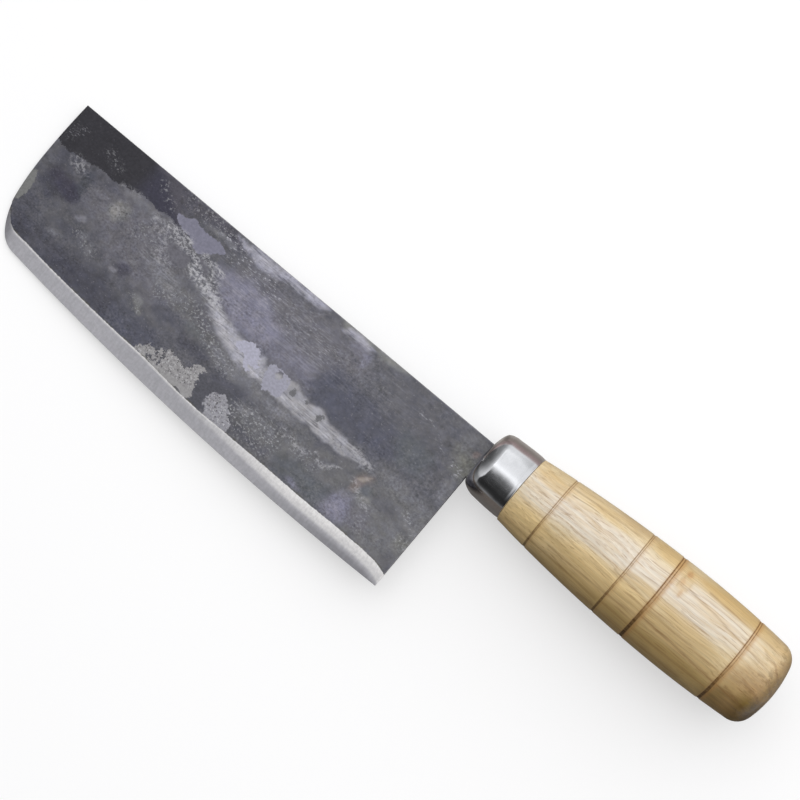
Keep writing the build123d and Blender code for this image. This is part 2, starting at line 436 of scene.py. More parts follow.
paints = {
    "scaleBlack": (54, 53, 58), "scaleInk": (62, 61, 74), "deepSlate": (76, 76, 86), "slate": (85, 85, 94),
    "steel": (97, 97, 103), "paleSteel": (110, 109, 116), "mist": (126, 126, 131), "lilac": (129, 128, 143),
    "inkLilac": (68, 66, 80), "teal": (77, 79, 87), "silver": (173, 172, 187), "dullSilver": (156, 155, 168),
    "greySilver": (149, 148, 155), "ash": (108, 108, 111), "olive": (117, 117, 113), "rust": (160, 152, 146),
    "rose": (128, 116, 113), "bareWarm": (153, 151, 152), "edgeAsh": (128, 128, 127),
    "groundSteel": (177, 176, 181), "bevelHighlight": (231, 229, 228), "bevelShade": (134, 133, 138),
    "isle": (103, 102, 109), "blot": (82, 82, 89), "duskBlue": (88, 89, 100), "seaGrey": (96, 99, 104),
    "spineGrey": (82, 80, 88), "frost": (168, 167, 179), "streak": (172, 171, 179), "band": (158, 157, 162),
    "heelGrey": (114, 114, 117), "chalk": (164, 160, 158),
    "brushLight": (200, 199, 206), "brushDark": (84, 84, 92), "worn": (166, 165, 171), "stain": (70, 70, 76),
    "crumb": (112, 110, 112), "rime": (206, 205, 208), "pitDark": (70, 68, 70), "burr": (92, 90, 70),
    "laceLight": (186, 185, 189), "laceDark": (80, 80, 86), "speckLight": (172, 172, 175),
    "speckDark": (72, 72, 80),
    "dashLight": (186, 185, 192), "dashDark": (78, 78, 86),
}

# Light flecks and the dark beside them. Noise is its stretch, detail, roughness, shift and distortion; light and
# dark are the noise's ends for each; paints are the light and the dark one; darkness is the strength of the dark.
fleckKinds = {
    "lace": {"noise": ((0.62, 0.80, 0.8), 6, 0.75, (2, 9, 4), 0.3), "light": (0.46, 0.56),
             "dark": (0.45, 0.35),
             "paints": ("laceLight", "laceDark"), "darkness": 0.75},
    "specks": {"noise": ((1.0, 1.2, 1.1), 3, 0.65, (7, 2, 4)), "light": (0.53, 0.64), "dark": (0.42, 0.32),
               "paints": ("speckLight", "speckDark"), "darkness": 0.45},
    "dashes": {"noise": ((0.75, 2.2, 1.2), 3, 0.6, (3, 1, 8)), "light": (0.57, 0.67), "dark": (0.42, 0.32),
               "paints": ("dashLight", "dashDark"), "darkness": 0.6},
}

# What the forge and the stone left on the upper cheek. Washes are soft areas: paint, strength, soft
# border, outline. Spots are soft ovals: paint, strength, middle, half sizes, tilt. Plates have a crisp
# border, where scale still sits or has come away. Strokes are kind, strength, half width, soft border, line.
# Dark washes tint the dark plates only. Holes are small ovals left out of the light plates: middle, half sizes.
upperCheek = {
    "base": "steel",
    "washes": [
        ("paleSteel", 0.9, 6, [(-172, -9), (-142, -7), (-128, -18), (-112, -22), (-104, -30), (-112, -34),
                               (-135, -35), (-150, -34), (-166, -26), (-176, -20)]),
        ("slate", 0.95, 3.5, [(-190, -38), (-184, -39), (-165, -39), (-148, -38), (-139, -42),
                              (-134, -50), (-150, -56), (-186, -56), (-195, -46)]),
        ("slate", 0.6, 3.5, [(-197, -35), (-188, -31), (-186, -40), (-196, -44)]),
        ("duskBlue", 0.9, 3, [(-140, -42), (-135, -41), (-120, -41), (-115, -45), (-120, -54), (-142, -54)]),
        ("slate", 0.55, 2, [(-193, -11), (-178, -10.5), (-166, -10), (-166, -13), (-176, -16), (-192, -17)]),
        ("deepSlate", 0.6, 3, [(-172, -42), (-150, -41), (-141, -43), (-141, -50), (-172, -50)]),
        ("paleSteel", 0.9, 4, [(-112, 1), (-60, 2), (-50, -3), (-56, -9), (-64, -22), (-80, -22),
                               (-95, -22), (-110, -16)]),
        ("lilac", 0.95, 3, [(-117, -9), (-110, -6), (-98, -6), (-90, -9), (-84, -12), (-84, -20),
                            (-95, -22), (-104, -21), (-111, -17)]),
        ("lilac", 0.45, 3, [(-84, -12), (-66, -14), (-62, -22), (-84, -22)]),
        ("duskBlue", 1.0, 3, [(-60, -9), (-36, -11), (-27, -14), (-22, -21), (-26, -24.5), (-45, -25.4),
                              (-60, -24), (-66, -19)]),
        ("seaGrey", 0.8, 3, [(-28, -10), (-14, -11), (-12, -20), (-22, -22), (-27, -16)]),
        ("mist", 0.85, 3, [(-100, -30), (-70, -32), (-58, -32), (-64, -37), (-84, -36), (-92, -37),
                           (-100, -35)]),
        ("ash", 0.8, 3, [(-128, -20), (-114, -23), (-100, -31), (-104, -35), (-120, -32), (-134, -27)]),
        ("ash", 0.9, 4, [(-60, -36), (-44, -38), (-22, -26), (1, -26), (1, -52), (-20, -53), (-60, -46)]),
        ("ash", 0.9, 3, [(-78, -41), (-66, -39), (-54, -42), (-56, -50), (-68, -52), (-76, -50)]),
        ("heelGrey", 0.8, 3, [(-18, -38), (1, -39), (1, -51), (-14, -52), (-20, -46)]),
        ("spineGrey", 0.8, 2, [(-160, 7), (-152, 2), (-144, -3), (-137, 0), (-126, 1), (-118, -1),
                               (-114, 3), (-122, 7)]),
        ("frost", 0.85, 1.3, [(-120, 4.6), (-107, 1.2), (-98, 1), (-92, 3), (-80, 3.5), (-76, 5),
                              (-82, 6.6), (-106, 6.2)]),
        ("edgeAsh", 1.0, 1.2, [(-72, 7), (-68, 3.2), (-58, 4.0), (-50, 3.6), (-38, 4.6), (-36, 7)]),
        ("frost", 1.0, 1.0, [(-68, 2.2), (-63, 3.0), (-57, 2.0), (-54, 3.4), (-60, 5.0), (-66, 5.0)]),
        ("streak", 0.95, 1.3, [(-117, -16.4), (-112, -17.4), (-107, -20), (-100, -22), (-94, -23.4),
                               (-83, -23.5), (-79, -26), (-79.5, -30.6), (-84, -31.4), (-90, -30.6),
                               (-96, -29.4), (-102, -27.4), (-107, -25), (-111, -21.6), (-115, -19.4)]),
        ("band", 0.95, 0.7, [(-80, -24.5), (-70, -22.8), (-67, -23.3), (-62, -24), (-60.5, -25.2),
                             (-57, -24.4), (-51, -25.6), (-46, -26.4), (-36, -27), (-30, -28),
                             (-31, -29.6), (-36, -30.6), (-42, -31.8), (-50, -32.2), (-58, -31.6),
                             (-66, -31.8), (-80, -31)]),
        ("mist", 0.9, 1.5, [(-112, -19.6), (-122, -15), (-128, -14), (-125, -17.6), (-114, -22)]),
        ("deepSlate", 0.65, 2, [(-113, -35.5), (-106, -34.5), (-98, -35), (-96, -38.5), (-104, -40),
                                (-112, -40)]),
        ("slate", 0.8, 1.6, [(-96, -38.4), (-88, -37), (-80, -38), (-82, -41), (-90, -42), (-95, -41)]),
        ("ash", 0.9, 1.2, [(-59, -34), (-54, -33), (-49, -33.5), (-48, -36), (-53, -38.5), (-58, -37.5)]),
        ("ash", 0.9, 1.0, [(-46, -34), (-41, -33.4), (-39.5, -35), (-42, -37), (-46, -36.6)]),
        ("seaGrey", 0.7, 2.5, [(-57, -45), (-47, -43), (-40, -45), (-38, -52), (-56, -52)]),
        ("mist", 0.8, 1.2, [(-14, -32), (-8, -33.4), (-3, -35.4), (1, -36), (1, -38), (-4, -37),
                            (-9, -35.6)]),
        ("mist", 0.5, 2, [(-24, -25.4), (-8, -26), (1, -29), (-8, -29), (-24, -28.5)]),
        ("slate", 0.35, 2, [(-20, -33), (-12, -34), (-9, -37.5), (-16, -38.5), (-21, -36.5)]),
        ("lilac", 0.95, 2.4, [(-34, -46), (-31, -42), (-26, -41), (-23, -43.4), (-23.4, -49),
                              (-27, -51.6), (-33, -51)]),
        ("slate", 0.5, 1.5, [(-4, -47), (1, -46), (1, -53), (-3.5, -51)]),
        ("ash", 0.8, 2.5, [(-10, 4), (1, 5), (1, -2), (-8, -3)]),
        ("olive", 0.95, 2.5, [(-9, -3), (1, -3), (1, -13), (-6, -11)]),
        ("olive", 0.6, 1.6, [(-5, -40), (1, -39.5), (1, -44), (-5, -43)]),
        ("rose", 0.7, 1.2, [(-29.6, -34.6), (-28, -31.4), (-25, -29.8), (-25.8, -33), (-27.4, -39),
                            (-29.4, -39.4)]),
        ("rust", 1.0, 0.6, [(-28.9, -34.2), (-27.7, -32.4), (-25.9, -30.9), (-26.1, -32.5), (-27.3, -34.3)]),
    ],
    "spots": [
        ("mist", 0.5, -155, -9, 8, 1.8, 0), ("mist", 0.35, -142, -8, 4, 1.6, 0),
        ("slate", 0.4, -188, -14, 5, 3, 0), ("teal", 0.8, -177.5, -18, 2.6, 6.5, 0),
        ("inkLilac", 0.85, -184, -22, 7.5, 4.2, -15), ("deepSlate", 0.75, -187, -26, 5.5, 3.4, -10),
        ("inkLilac", 0.5, -178, -24, 3.6, 2.4, 20), ("slate", 0.3, -188, -35, 4, 6, 0),
        ("deepSlate", 0.75, -187, -43.5, 5, 3.5, -25), ("slate", 0.5, -171, -34, 4, 2.2, 0),
        ("edgeAsh", 0.8, -161, -16.8, 4.6, 3.8, 20), ("chalk", 0.3, -161.6, -16.6, 2.8, 2.6, 0),
        ("greySilver", 0.5, -170, -27.8, 2.4, 1.3, 25), ("mist", 0.55, -174, -38, 3.4, 1.2, 15),
        ("mist", 0.5, -159.6, -34, 1.6, 3, 10), ("mist", 0.45, -165, -31.6, 2.4, 1.6, 0),
        ("inkLilac", 0.6, -145, -32, 3.6, 2.2, 0), ("greySilver", 0.5, -148.4, -34.4, 1.7, 1.0, 25),
        ("mist", 0.6, -144.6, -28, 1.8, 0.8, 0), ("edgeAsh", 0.75, -134, -37.2, 2.6, 2.0, -20),
        ("edgeAsh", 0.6, -131.6, -39.4, 2.4, 1.2, -30), ("mist", 0.5, -134, -23, 9, 3, 0),
        ("mist", 0.4, -126, -26, 8, 3, 0), ("isle", 0.5, -110, -27, 6, 2.4, -30),
        ("duskBlue", 0.5, -120, -34, 8, 2.6, 0), ("seaGrey", 0.5, -110, -32, 4, 2, 0),
        ("mist", 0.8, -123, 0.3, 6, 1.2, 0), ("lilac", 0.55, -54.6, -1.2, 1.6, 2.6, -15),
        ("lilac", 0.5, -58, 0.6, 4, 2, 0), ("lilac", 0.4, -28.5, -48, 6, 4.2, 0),
        ("paleSteel", 0.8, -20, -45, 5, 5, 0), ("rose", 0.7, -2, -1.2, 1.6, 1.4, 0),
        ("edgeAsh", 0.6, -22.5, -39, 2.6, 2, 0), ("seaGrey", 0.7, -24, -36, 2.4, 2, 0),
        ("lilac", 0.6, -46.5, -50.8, 3.4, 1.2, 0), ("seaGrey", 0.7, -38, -47, 5, 4, 0),
        ("mist", 0.5, -3, -18, 2.4, 5, 0), ("deepSlate", 0.45, -73, -49.5, 6, 2.4, 0),
        ("mist", 0.4, -38, -29.5, 9, 2, 0), ("mist", 0.55, -76, -42.5, 4, 1.6, 20),
        ("slate", 0.6, -64, -49, 5, 2.4, 10), ("mist", 0.5, -66, -41.6, 5, 1.4, -10),
    ],
    "plates": [
        ("dark", "scaleBlack", [
            (-199, 9), (-150, 9), (-147, 3), (-144.4, 0), (-142.2, -2), (-140.6, -4.2), (-139.4, -5.6),
            (-138.2, -7.1), (-141.5, -6.7), (-144, -5.9), (-146.5, -6.3), (-148, -7.0), (-151, -7.0),
            (-154, -6.5), (-158, -6.4), (-160, -7.0), (-162, -7.9), (-165.5, -8.0), (-168, -9.2),
            (-171, -9.4), (-174, -8.9), (-178, -9.2), (-180, -10.0), (-187, -10.9), (-190, -11.8),
            (-193, -11.2), (-199, -10.4),
]),
        ("dark", "isle", [
            (-136.8, -12.6), (-135.5, -13.8), (-134.5, -12.6), (-133, -12.3), (-131.5, -13.2),
            (-130.3, -12.9), (-129.2, -12.2), (-127.8, -12.7), (-127.2, -14), (-127.6, -16),
            (-128.6, -18), (-130.2, -18.5), (-132, -18.2), (-134, -18.8), (-136, -18.3), (-137, -16.5),
            (-138.5, -15.6), (-138.2, -14),
]),
        ("dark", "isle", [(-125, -10.4), (-122.8, -10.0), (-121.6, -11), (-122.2, -12.4), (-124, -12.4),
                          (-125.2, -11.4)]),
        ("dark", "isle", [(-121.9, -12.1), (-120.4, -11.7), (-119.2, -13), (-119.2, -14.4),
                          (-120.2, -15.7), (-121.3, -15.1), (-121.6, -13.6)]),
        ("dark", "blot", [
            (-98.5, -42.2), (-96.5, -41.5), (-95, -41.7), (-93.5, -43.0), (-92, -41.4), (-89.5, -40.8),
            (-86, -40.1), (-82.3, -40.6), (-84.5, -42.4), (-87, -43.2), (-89.3, -44.2), (-90, -46),
            (-90.5, -48.2), (-90.5, -49.8), (-88.4, -50.2), (-87.8, -51.2), (-89.6, -52.2), (-92, -53.4),
            (-95.4, -53.2), (-95.6, -52), (-95.0, -50.7), (-95.9, -48.2), (-96.9, -45.8), (-97.5, -43.8),
]),
        ("light", "lilac", [
            (-142.6, -4.3), (-142.2, -2.9), (-139.5, -2.6), (-137.5, -1.8), (-136, -0.4), (-134.3, -1.4),
            (-131, -2.0), (-128, -1.9), (-124, -1.6), (-121.6, -2.0), (-119.0, -3.4), (-119.4, -4.8),
            (-121.6, -5.4), (-123, -6.8), (-125, -8.2), (-126.6, -9.6), (-128.2, -10.2), (-130.5, -9.4),
            (-132.2, -8.2), (-133.5, -7.0), (-136.5, -7.0), (-139, -6.2), (-141, -5.4),
]),
        ("light", "silver", [
            (-95, -25), (-94.3, -24), (-93.5, -23.2), (-91.7, -22.8), (-91, -21.7), (-89.6, -21.3),
            (-88.2, -22), (-86.8, -21.7), (-85.6, -22.3), (-85, -23.8), (-84, -24.6), (-84.6, -25.6),
            (-83.4, -26.8), (-82, -27), (-83, -28.2), (-84.3, -28), (-85, -28.6), (-86.5, -28.9),
            (-86, -29.6), (-84.5, -29.7), (-84.3, -30.6), (-86, -31), (-87.6, -30.4), (-88.6, -29.2),
            (-89.2, -27.6), (-90.4, -26.8), (-91.6, -27.2), (-93, -26.6), (-94, -27),
]),
        ("light", "dullSilver", [
            (-80.2, -23.5), (-79, -22.6), (-76, -22.4), (-71, -22.9), (-69.9, -24.5), (-69.7, -27),
            (-69.8, -30), (-71, -31.5), (-73, -31.7), (-74.3, -31.3), (-75.5, -32), (-77, -32.7),
            (-78.1, -31), (-78.8, -29), (-79.8, -27),
]),
        ("dark", "ash", [(-68.6, -26), (-67.6, -24.9), (-66.2, -25.1), (-65.7, -26.2), (-66.6, -27.3),
                         (-68, -27.2)]),
        ("dark", "ash", [(-55, -27), (-54.2, -25.7), (-53, -25.5), (-52.4, -26.6), (-53, -28),
                         (-54.3, -28.3)]),
        ("dark", "ash", [(-61.6, -25.6), (-60.8, -24.6), (-59.9, -25.2), (-60.6, -26.2)]),
        ("light", "bareWarm", [
            (-123.4, -51), (-122, -48.6), (-120.2, -47.6), (-119.2, -46.2), (-116.8, -45.9),
            (-115.4, -46.4), (-114.9, -44.6), (-113.2, -44.4), (-112.2, -43.1), (-110, -43.1),
            (-107, -43.3), (-105.4, -44.2), (-103.4, -44.5), (-102.2, -43.0), (-101.4, -41.4),
            (-100.2, -40.2), (-98, -39.8), (-96.2, -40.6), (-98, -41.8), (-98.0, -43.4), (-97.0, -44.8),
            (-96.5, -46.6), (-96.1, -48.6), (-94.8, -50.7), (-95.6, -52.4), (-98, -53.2), (-100.4, -51.6),
            (-102, -51.8), (-103, -53), (-112, -52.6), (-119, -52),
]),
        ("light", "greySilver", [
            (-90.0, -44.8), (-88.6, -43.6), (-87.6, -44.2), (-86.4, -42.8), (-85.4, -42.2), (-84, -43.4),
            (-82.6, -44.2), (-81.6, -46), (-79.6, -46.8), (-79, -48.4), (-77, -49.6), (-76.6, -53.4),
            (-82, -53.4), (-88.2, -53.2), (-88.0, -51.6), (-88.6, -50.7), (-90.6, -49.9), (-90.7, -48.2),
]),
        ("light", "edgeAsh", [
            (-199, -24.3), (-194.6, -24.6), (-193.4, -26.4), (-192.6, -29), (-192.3, -32),
            (-192.7, -34.8), (-193.4, -37), (-196, -38),
]),
    ],
    "holes": [(-75, -24.6, 1.5, 1.5), (-71.2, -24.4, 0.6, 0.5), (-74.2, -31.6, 0.9, 0.5),
              (-112.4, -48.4, 0.4, 1.0), (-115.0, -46.8, 0.35, 1.2), (-116.3, -50.3, 1.4, 0.6),
              (-112.6, -45.4, 1.1, 0.35)],
    "darkWashes": [
        ("scaleInk", 0.95, 4, [(-159, 9), (-151, 7), (-136, -7), (-150, -9), (-160, -6)]),
        ("spineGrey", 1.0, 1.8, [(-164, 9), (-159, 5), (-154, 4), (-151.6, 1.6), (-148, -0.8),
                                 (-145, -2.8), (-141, -5.6), (-132, -7), (-138, 12), (-164, 12)]),
    ],
    "strokes": [
        ("lace", 1.0, 1.3, 1.2, [(-142, -8.6), (-138, -8.4), (-134, -7.8), (-132, -8.6)]),
        ("lace", 0.55, 1.6, 1.4, [(-148, -9.6), (-143, -10.4), (-139, -11.5)]),
        ("lace", 1.0, 1.2, 1.1, [(-137, -10.6), (-132, -11.2), (-128, -11.2), (-125.5, -12.6),
                                 (-123.6, -14)]),
        ("lace", 0.9, 1.2, 1.2, [(-124.5, -9), (-121, -9.6), (-118, -10), (-115, -10.2)]),
        ("lace", 1.0, 2.2, 1.4, [(-125, -15.6), (-121, -16.4), (-116, -17.4), (-112, -18.6),
                                 (-109.6, -19.4)]),
        ("lace", 0.8, 1.3, 1.2, [(-118.4, -11.6), (-116.6, -14.4), (-113.6, -14.4)]),
        ("lace", 0.45, 2.2, 1.6, [(-144, -13), (-140, -15.4), (-139, -19), (-134, -20)]),
        ("lace", 0.6, 0.8, 0.8, [(-61.5, -38.0), (-59, -39.2), (-56, -38.6), (-54, -40.4), (-50.5, -39.6),
                                 (-47, -37.2), (-44.5, -38.8), (-41.5, -39.4), (-39.5, -37.6), (-37, -36)]),
        ("lace", 0.5, 1.2, 1.2, [(-30, -36), (-26, -38.5), (-21, -40.5)]),
        ("lace", 0.5, 1.6, 1.4, [(-36, -27.4), (-32, -28.6), (-28.6, -28.6)]),
        ("lace", 0.55, 2.2, 1.8, [(-185.6, -12.4), (-182, -13)]),
        ("specks", 0.3, 2.0, 1.8, [(-177, -2.4), (-171, -4.4)]),
        ("lace", 0.3, 0.9, 0.9, [(-166, -8.4), (-158, -7)]),
        ("specks", 0.45, 1.6, 1.6, [(-154, 2), (-150, -0.6), (-146, -3)]),
        ("specks", 0.22, 1.4, 1.6, [(-194.6, -2), (-193.6, -7)]),
        ("specks", 0.5, 3, 2.5, [(-140, 4), (-128, 3), (-118, 3)]),
        ("specks", 0.5, 3, 2, [(-130, -30), (-118, -26), (-108, -27)]),
        ("dashes", 0.38, 6, 4, [(-104, -8), (-80, -6), (-66, -8)]),
        ("dashes", 0.12, 5, 4, [(-60, -4), (-42, -5), (-34, -11)]),
        ("specks", 0.75, 3.8, 2.6, [(-80, -45), (-74, -43), (-62, -43.5)]),
        ("specks", 0.6, 2.8, 2.4, [(-74, -48), (-62, -48.5)]),
        ("specks", 0.5, 2, 2, [(-54, -41), (-44, -42)]),
        ("specks", 0.5, 2, 2, [(-168, -32), (-163, -34), (-158, -35)]),
        ("specks", 0.45, 2.4, 2, [(-148, -13), (-150, -18), (-144, -18)]),
        ("specks", 0.55, 1.6, 1.6, [(-136, -36.6), (-131, -40)]),
        ("specks", 0.7, 2.6, 2, [(-112, -27), (-104, -31), (-97, -34), (-90, -35)]),
        ("specks", 0.4, 2, 2, [(-20, -40), (-18, -48)]),
        ("specks", 0.6, 1.4, 1.4, [(-8, -33), (-2, -36.5)]),
        ("specks", 0.6, 1.6, 1.4, [(-4, -41), (0, -42)]),
        ("dashes", 1.0, 2.4, 1.5, [(-124, 2.5), (-114, 0.4), (-106, 0.2), (-97, -1)]),
        ("dashes", 0.8, 1.4, 1.2, [(-118, -3.4), (-104, -3.8), (-92, -4)]),
        ("dashes", 0.5, 1.4, 1.4, [(-134, 3.5), (-124, 3.6)]),
        ("dashes", 0.5, 1.0, 1.0, [(-28, -2.2), (-20, -3), (-13, -8)]),
        ("dashes", 0.9, 1.6, 1.4, [(-6, -9.6), (0, -11)]),
        ("dashes", 0.6, 1.2, 1.2, [(-190, -2), (-193.6, -6)]),
        ("brushed", 0.7, 2.2, 2.0, [(-115, -18.6), (-109, -21), (-102, -24), (-94, -27), (-84, -28.4),
                                    (-74, -29)]),
        ("brushed", 1.0, 1.3, 1.2, [(-74, -29.4), (-58, -29.6), (-46, -29.8)]),
        ("brushed", 0.6, 1.6, 1.5, [(-62, -27.4), (-46, -28), (-34, -28.4)]),
        ("brushed", 0.8, 1.4, 1.2, [(-112, 5), (-104, 3.4), (-96, 3.4), (-86, 4.6), (-80, 4.8)]),
        ("brushed", 0.7, 0.9, 1.0, [(-66, 3.4), (-56, 3.4)]),
        ("brushed", 0.24, 9, 4, [(-112, -9), (-72, -9)]),
        ("brushed", 0.09, 9, 4, [(-62, -8), (-34, -6)]),
        ("brushed", 0.3, 2.5, 2, [(-142, -22), (-128, -24)]),
        ("pits", 1.0, 4.2, 1.4, [(-119, -49), (-110, -46.6), (-99, -45)]),
        ("pits", 1.0, 3.8, 1.4, [(-87, -47.5), (-80, -49.5)]),
        ("pits", 0.8, 2, 2, [(-78, -49), (-68, -49.6)]),
        ("pits", 0.8, 1.6, 1.6, [(-146.4, -10.8), (-142, -12.4), (-139.6, -11.8)]),
        ("pits", 1.0, 2.2, 1.4, [(-163, -17), (-160, -17.4), (-158, -14), (-157, -17.4)]),
        ("pits", 0.5, 2.5, 2, [(-52, -40), (-44, -41)]),
        ("pits", 0.8, 1.6, 1.0, [(-44, -29), (-38, -29), (-32, -28.6)]),
        ("pits", 0.35, 3, 3, [(-120, -22), (-108, -30), (-100, -34)]),
    ],
}


# The lower cheek has scale along the spine by the heel and a bare streak towards the toe
lowerCheek = {
    "base": "steel",
    "washes": [
        ("slate", 0.9, 5, [(-199, 9), (-150, 9), (-138, -4), (-152, -20), (-178, -30), (-199, -28)]),
        ("paleSteel", 0.9, 6, [(-165, -24), (-128, -16), (-96, -18), (-70, -12), (-44, -18), (-52, -34),
                               (-90, -40), (-140, -38), (-166, -33)]),
        ("lilac", 0.7, 4, [(-90, 2), (-66, 3), (-54, -2), (-58, -11), (-72, -15), (-88, -9)]),
        ("duskBlue", 0.9, 4, [(-40, 8), (1, 8), (1, -24), (-22, -28), (-36, -14)]),
        ("streak", 0.9, 1.4, [(-152, -8), (-140, -5), (-128, -8), (-116, -12.6), (-104, -15), (-95, -20),
                              (-106, -23), (-120, -20), (-134, -14), (-148, -12)]),
        ("frost", 0.7, 1.4, [(-132, 6.6), (-110, 3), (-92, 4.4), (-80, 6.6)]),
        ("band", 0.85, 0.9, [(-76, -36), (-60, -33), (-46, -34), (-33, -38), (-46, -41), (-62, -40.4)]),
        ("deepSlate", 0.8, 3, [(-124, -43), (-92, -40), (-66, -44), (-70, -54), (-120, -54)]),
        ("slate", 0.8, 3, [(-192, -36), (-162, -40), (-150, -50), (-188, -50)]),
        ("heelGrey", 0.7, 3, [(-26, -34), (1, -36), (1, -50), (-22, -51)]),
        ("olive", 0.7, 2, [(-9, -8), (1, -8), (1, -15), (-7, -14)]),
        ("rose", 0.5, 2, [(-148, -30), (-140, -27), (-136, -31), (-144, -34)]),
    ],
    "spots": [
        ("inkLilac", 0.7, -172, -12, 8, 5, 20), ("mist", 0.6, -182, -24, 4, 2, -15),
        ("mist", 0.5, -160, -31, 5, 2, 10), ("deepSlate", 0.6, -132, -27, 6, 3, -20),
        ("chalk", 0.6, -124, -33, 2.4, 1.6, 10), ("seaGrey", 0.7, -100, -8, 7, 3, 0),
        ("mist", 0.6, -84, -27, 7, 3, -10), ("inkLilac", 0.5, -76, -21, 5, 3, 0),
        ("ash", 0.7, -30, -34, 7, 4, 0), ("lilac", 0.6, -18, -20, 5, 4, 0),
        ("mist", 0.6, -12, -30, 5, 2, -20), ("greySilver", 0.5, -148, -37, 2, 1.2, 20),
        ("slate", 0.6, -48, -26, 6, 3, 15), ("mist", 0.5, -42, -46, 6, 2, 0),
    ],
    "plates": [
        ("dark", "scaleBlack", [
            (-66, 9), (-62, 4.8), (-57, 4.2), (-53, 2.2), (-48, 2.8), (-43, 1.0), (-40, 1.6), (-36, -1.0),
            (-31, -0.6), (-26, -2.4), (-21, -1.8), (-18, -4.2), (-14, -6.4), (-11, -5.2), (-10.4, -2),
            (-8, 1), (-9, 5), (-6, 9),
]),
        ("dark", "isle", [(-168, -16), (-163, -13.4), (-157, -14.4), (-151, -15), (-150, -18.6),
                          (-157, -21), (-165, -20)]),
        ("dark", "blot", [(-138, -49), (-133, -45.4), (-127, -44.6), (-123, -47), (-124, -51),
                          (-130, -54), (-138, -53)]),
        ("light", "silver", [(-118, -27), (-114, -24.8), (-108, -25.6), (-103, -25), (-100, -29),
                             (-105, -32.4), (-110, -31), (-113, -32.6), (-117.4, -30)]),
        ("light", "bareWarm", [(-64, -53.4), (-61, -49), (-56, -47.4), (-51, -48.6), (-48, -46.2),
                               (-43, -48), (-41, -53.4)]),
        ("light", "greySilver", [(-164, -44), (-160, -41.6), (-155, -42), (-152, -44.4), (-155, -47),
                                 (-161, -47)]),
        ("light", "lilac", [(-36, -9.6), (-31, -7.8), (-26, -8.6), (-24, -11.6), (-28, -14), (-33, -13)]),
        ("light", "edgeAsh", [(-199, -8), (-194.4, -9), (-192.8, -13), (-193.4, -18), (-199, -20)]),
    ],
    "holes": [(-107.4, -29.6, 1.4, 0.9), (-29, -11, 1.0, 0.8)],
    "darkWashes": [("scaleInk", 0.9, 4, [(-44, 9), (-22, 6), (-12, -7), (-34, -4)])],
    "strokes": [
        ("lace", 1.0, 1.6, 1.3, [(-156, -10), (-148, -10.6), (-142, -9.4)]),
        ("lace", 0.8, 1.6, 1.3, [(-124, -28), (-116, -31), (-104, -33), (-96, -30)]),
        ("lace", 0.9, 1.4, 1.2, [(-96, -20), (-90, -23), (-84, -23)]), ("lace", 0.6, 1.4, 1.2, [(-34, -37),
                                                                                                (-26, -40)]),
        ("lace", 0.7, 1.6, 1.3, [(-62, 2), (-50, -0.4), (-40, -2.4)]), ("lace", 0.5, 1.2, 1.2, [(-134, -41),
                                                                                                (-120, -42)]),
        ("specks", 0.9, 3.6, 2.4, [(-96, -46), (-84, -45)]), ("specks", 0.6, 3, 2.4, [(-150, -24),
                                                                                      (-136, -22)]),
        ("specks", 0.5, 2.4, 2, [(-20, -24), (-10, -18)]), ("specks", 0.5, 2.4, 2, [(-184, -34),
                                                                                    (-174, -38)]),
        ("dashes", 0.9, 2.4, 1.5, [(-128, 1), (-112, -2), (-98, -3)]), ("dashes", 0.5, 7, 4, [(-88, -16),
                                                                                              (-50, -24)]),
        ("dashes", 0.7, 1.4, 1.2, [(-186, -16), (-178, -18)]),
        ("brushed", 0.7, 2, 1.8, [(-146, -8.6), (-132, -11), (-118, -16), (-104, -18)]),
        ("brushed", 0.9, 1.4, 1.2, [(-74, -37), (-56, -36.6), (-40, -38)]),
        ("brushed", 0.30, 9, 4, [(-100, -8), (-60, -20), (-20, -18)]),
        ("brushed", 0.8, 1.4, 1.2, [(-124, 5), (-108, 4.4), (-94, 5)]),
        ("pits", 0.9, 3, 1.4, [(-58, -51), (-46, -50.6)]), ("pits", 0.8, 2.4, 1.4, [(-158, -44)] * 2),
        ("pits", 0.7, 2.4, 1.6, [(-130, -8), (-124, -11)]), ("pits", 0.6, 2.4, 2, [(-70, -29), (-58, -30)]),
    ],
}


def paintTone(x, y, cheek):
    tone = np.tile(linear(paints[cheek["base"]]), (len(x), 1))
    for name, strength, soft, outline in cheek["washes"]:
        layPaint(tone, paints[name], strength * ease(-soft, soft, reach(x, y, outline)))
    for name, strength, *oval in cheek["spots"]:
        layPaint(tone, paints[name], strength * ovalShare(x, y, oval, 0.55))
    return tone


def markFields(x, y, cheek, tone):
    count = len(x)
    lightEdge, darkEdge = np.full(count, -6.0), np.full(count, -6.0)
    lightTone, darkTone = tone.copy(), tone.copy()
    for kind, name, outline in cheek["plates"]:
        edge, paint = (lightEdge, lightTone) if kind == "light" else (darkEdge, darkTone)
        inside = reach(x, y, outline)
        nearer = inside > edge
        edge[nearer] = inside[nearer]
        paint[nearer] = linear(paints[name])
    for name, strength, soft, outline in cheek["darkWashes"]:
        layPaint(darkTone, paints[name], strength * ease(-soft, soft, reach(x, y, outline)))
    for middleX, middleY, long, wide in cheek["holes"]:
        hole = (1 - np.hypot((x - middleX) / long, (y - middleY) / wide)) * min(long, wide)
        lightEdge[:] = np.minimum(lightEdge, -hole)
    fields = {"lightEdge": lightEdge, "darkEdge": darkEdge, "lightTone": lightTone, "darkTone": darkTone}
    for kind in ("lace", "dashes", "pits", "brushed", "specks"):
        amount = np.zeros(count)
        for strokeKind, strength, wide, soft, line in cheek["strokes"]:
            if strokeKind == kind:
                amount = np.maximum(
                    amount, strength * ease(wide + soft, wide - soft, lineDistance(x, y, line)))
        fields[kind] = amount
    return fields
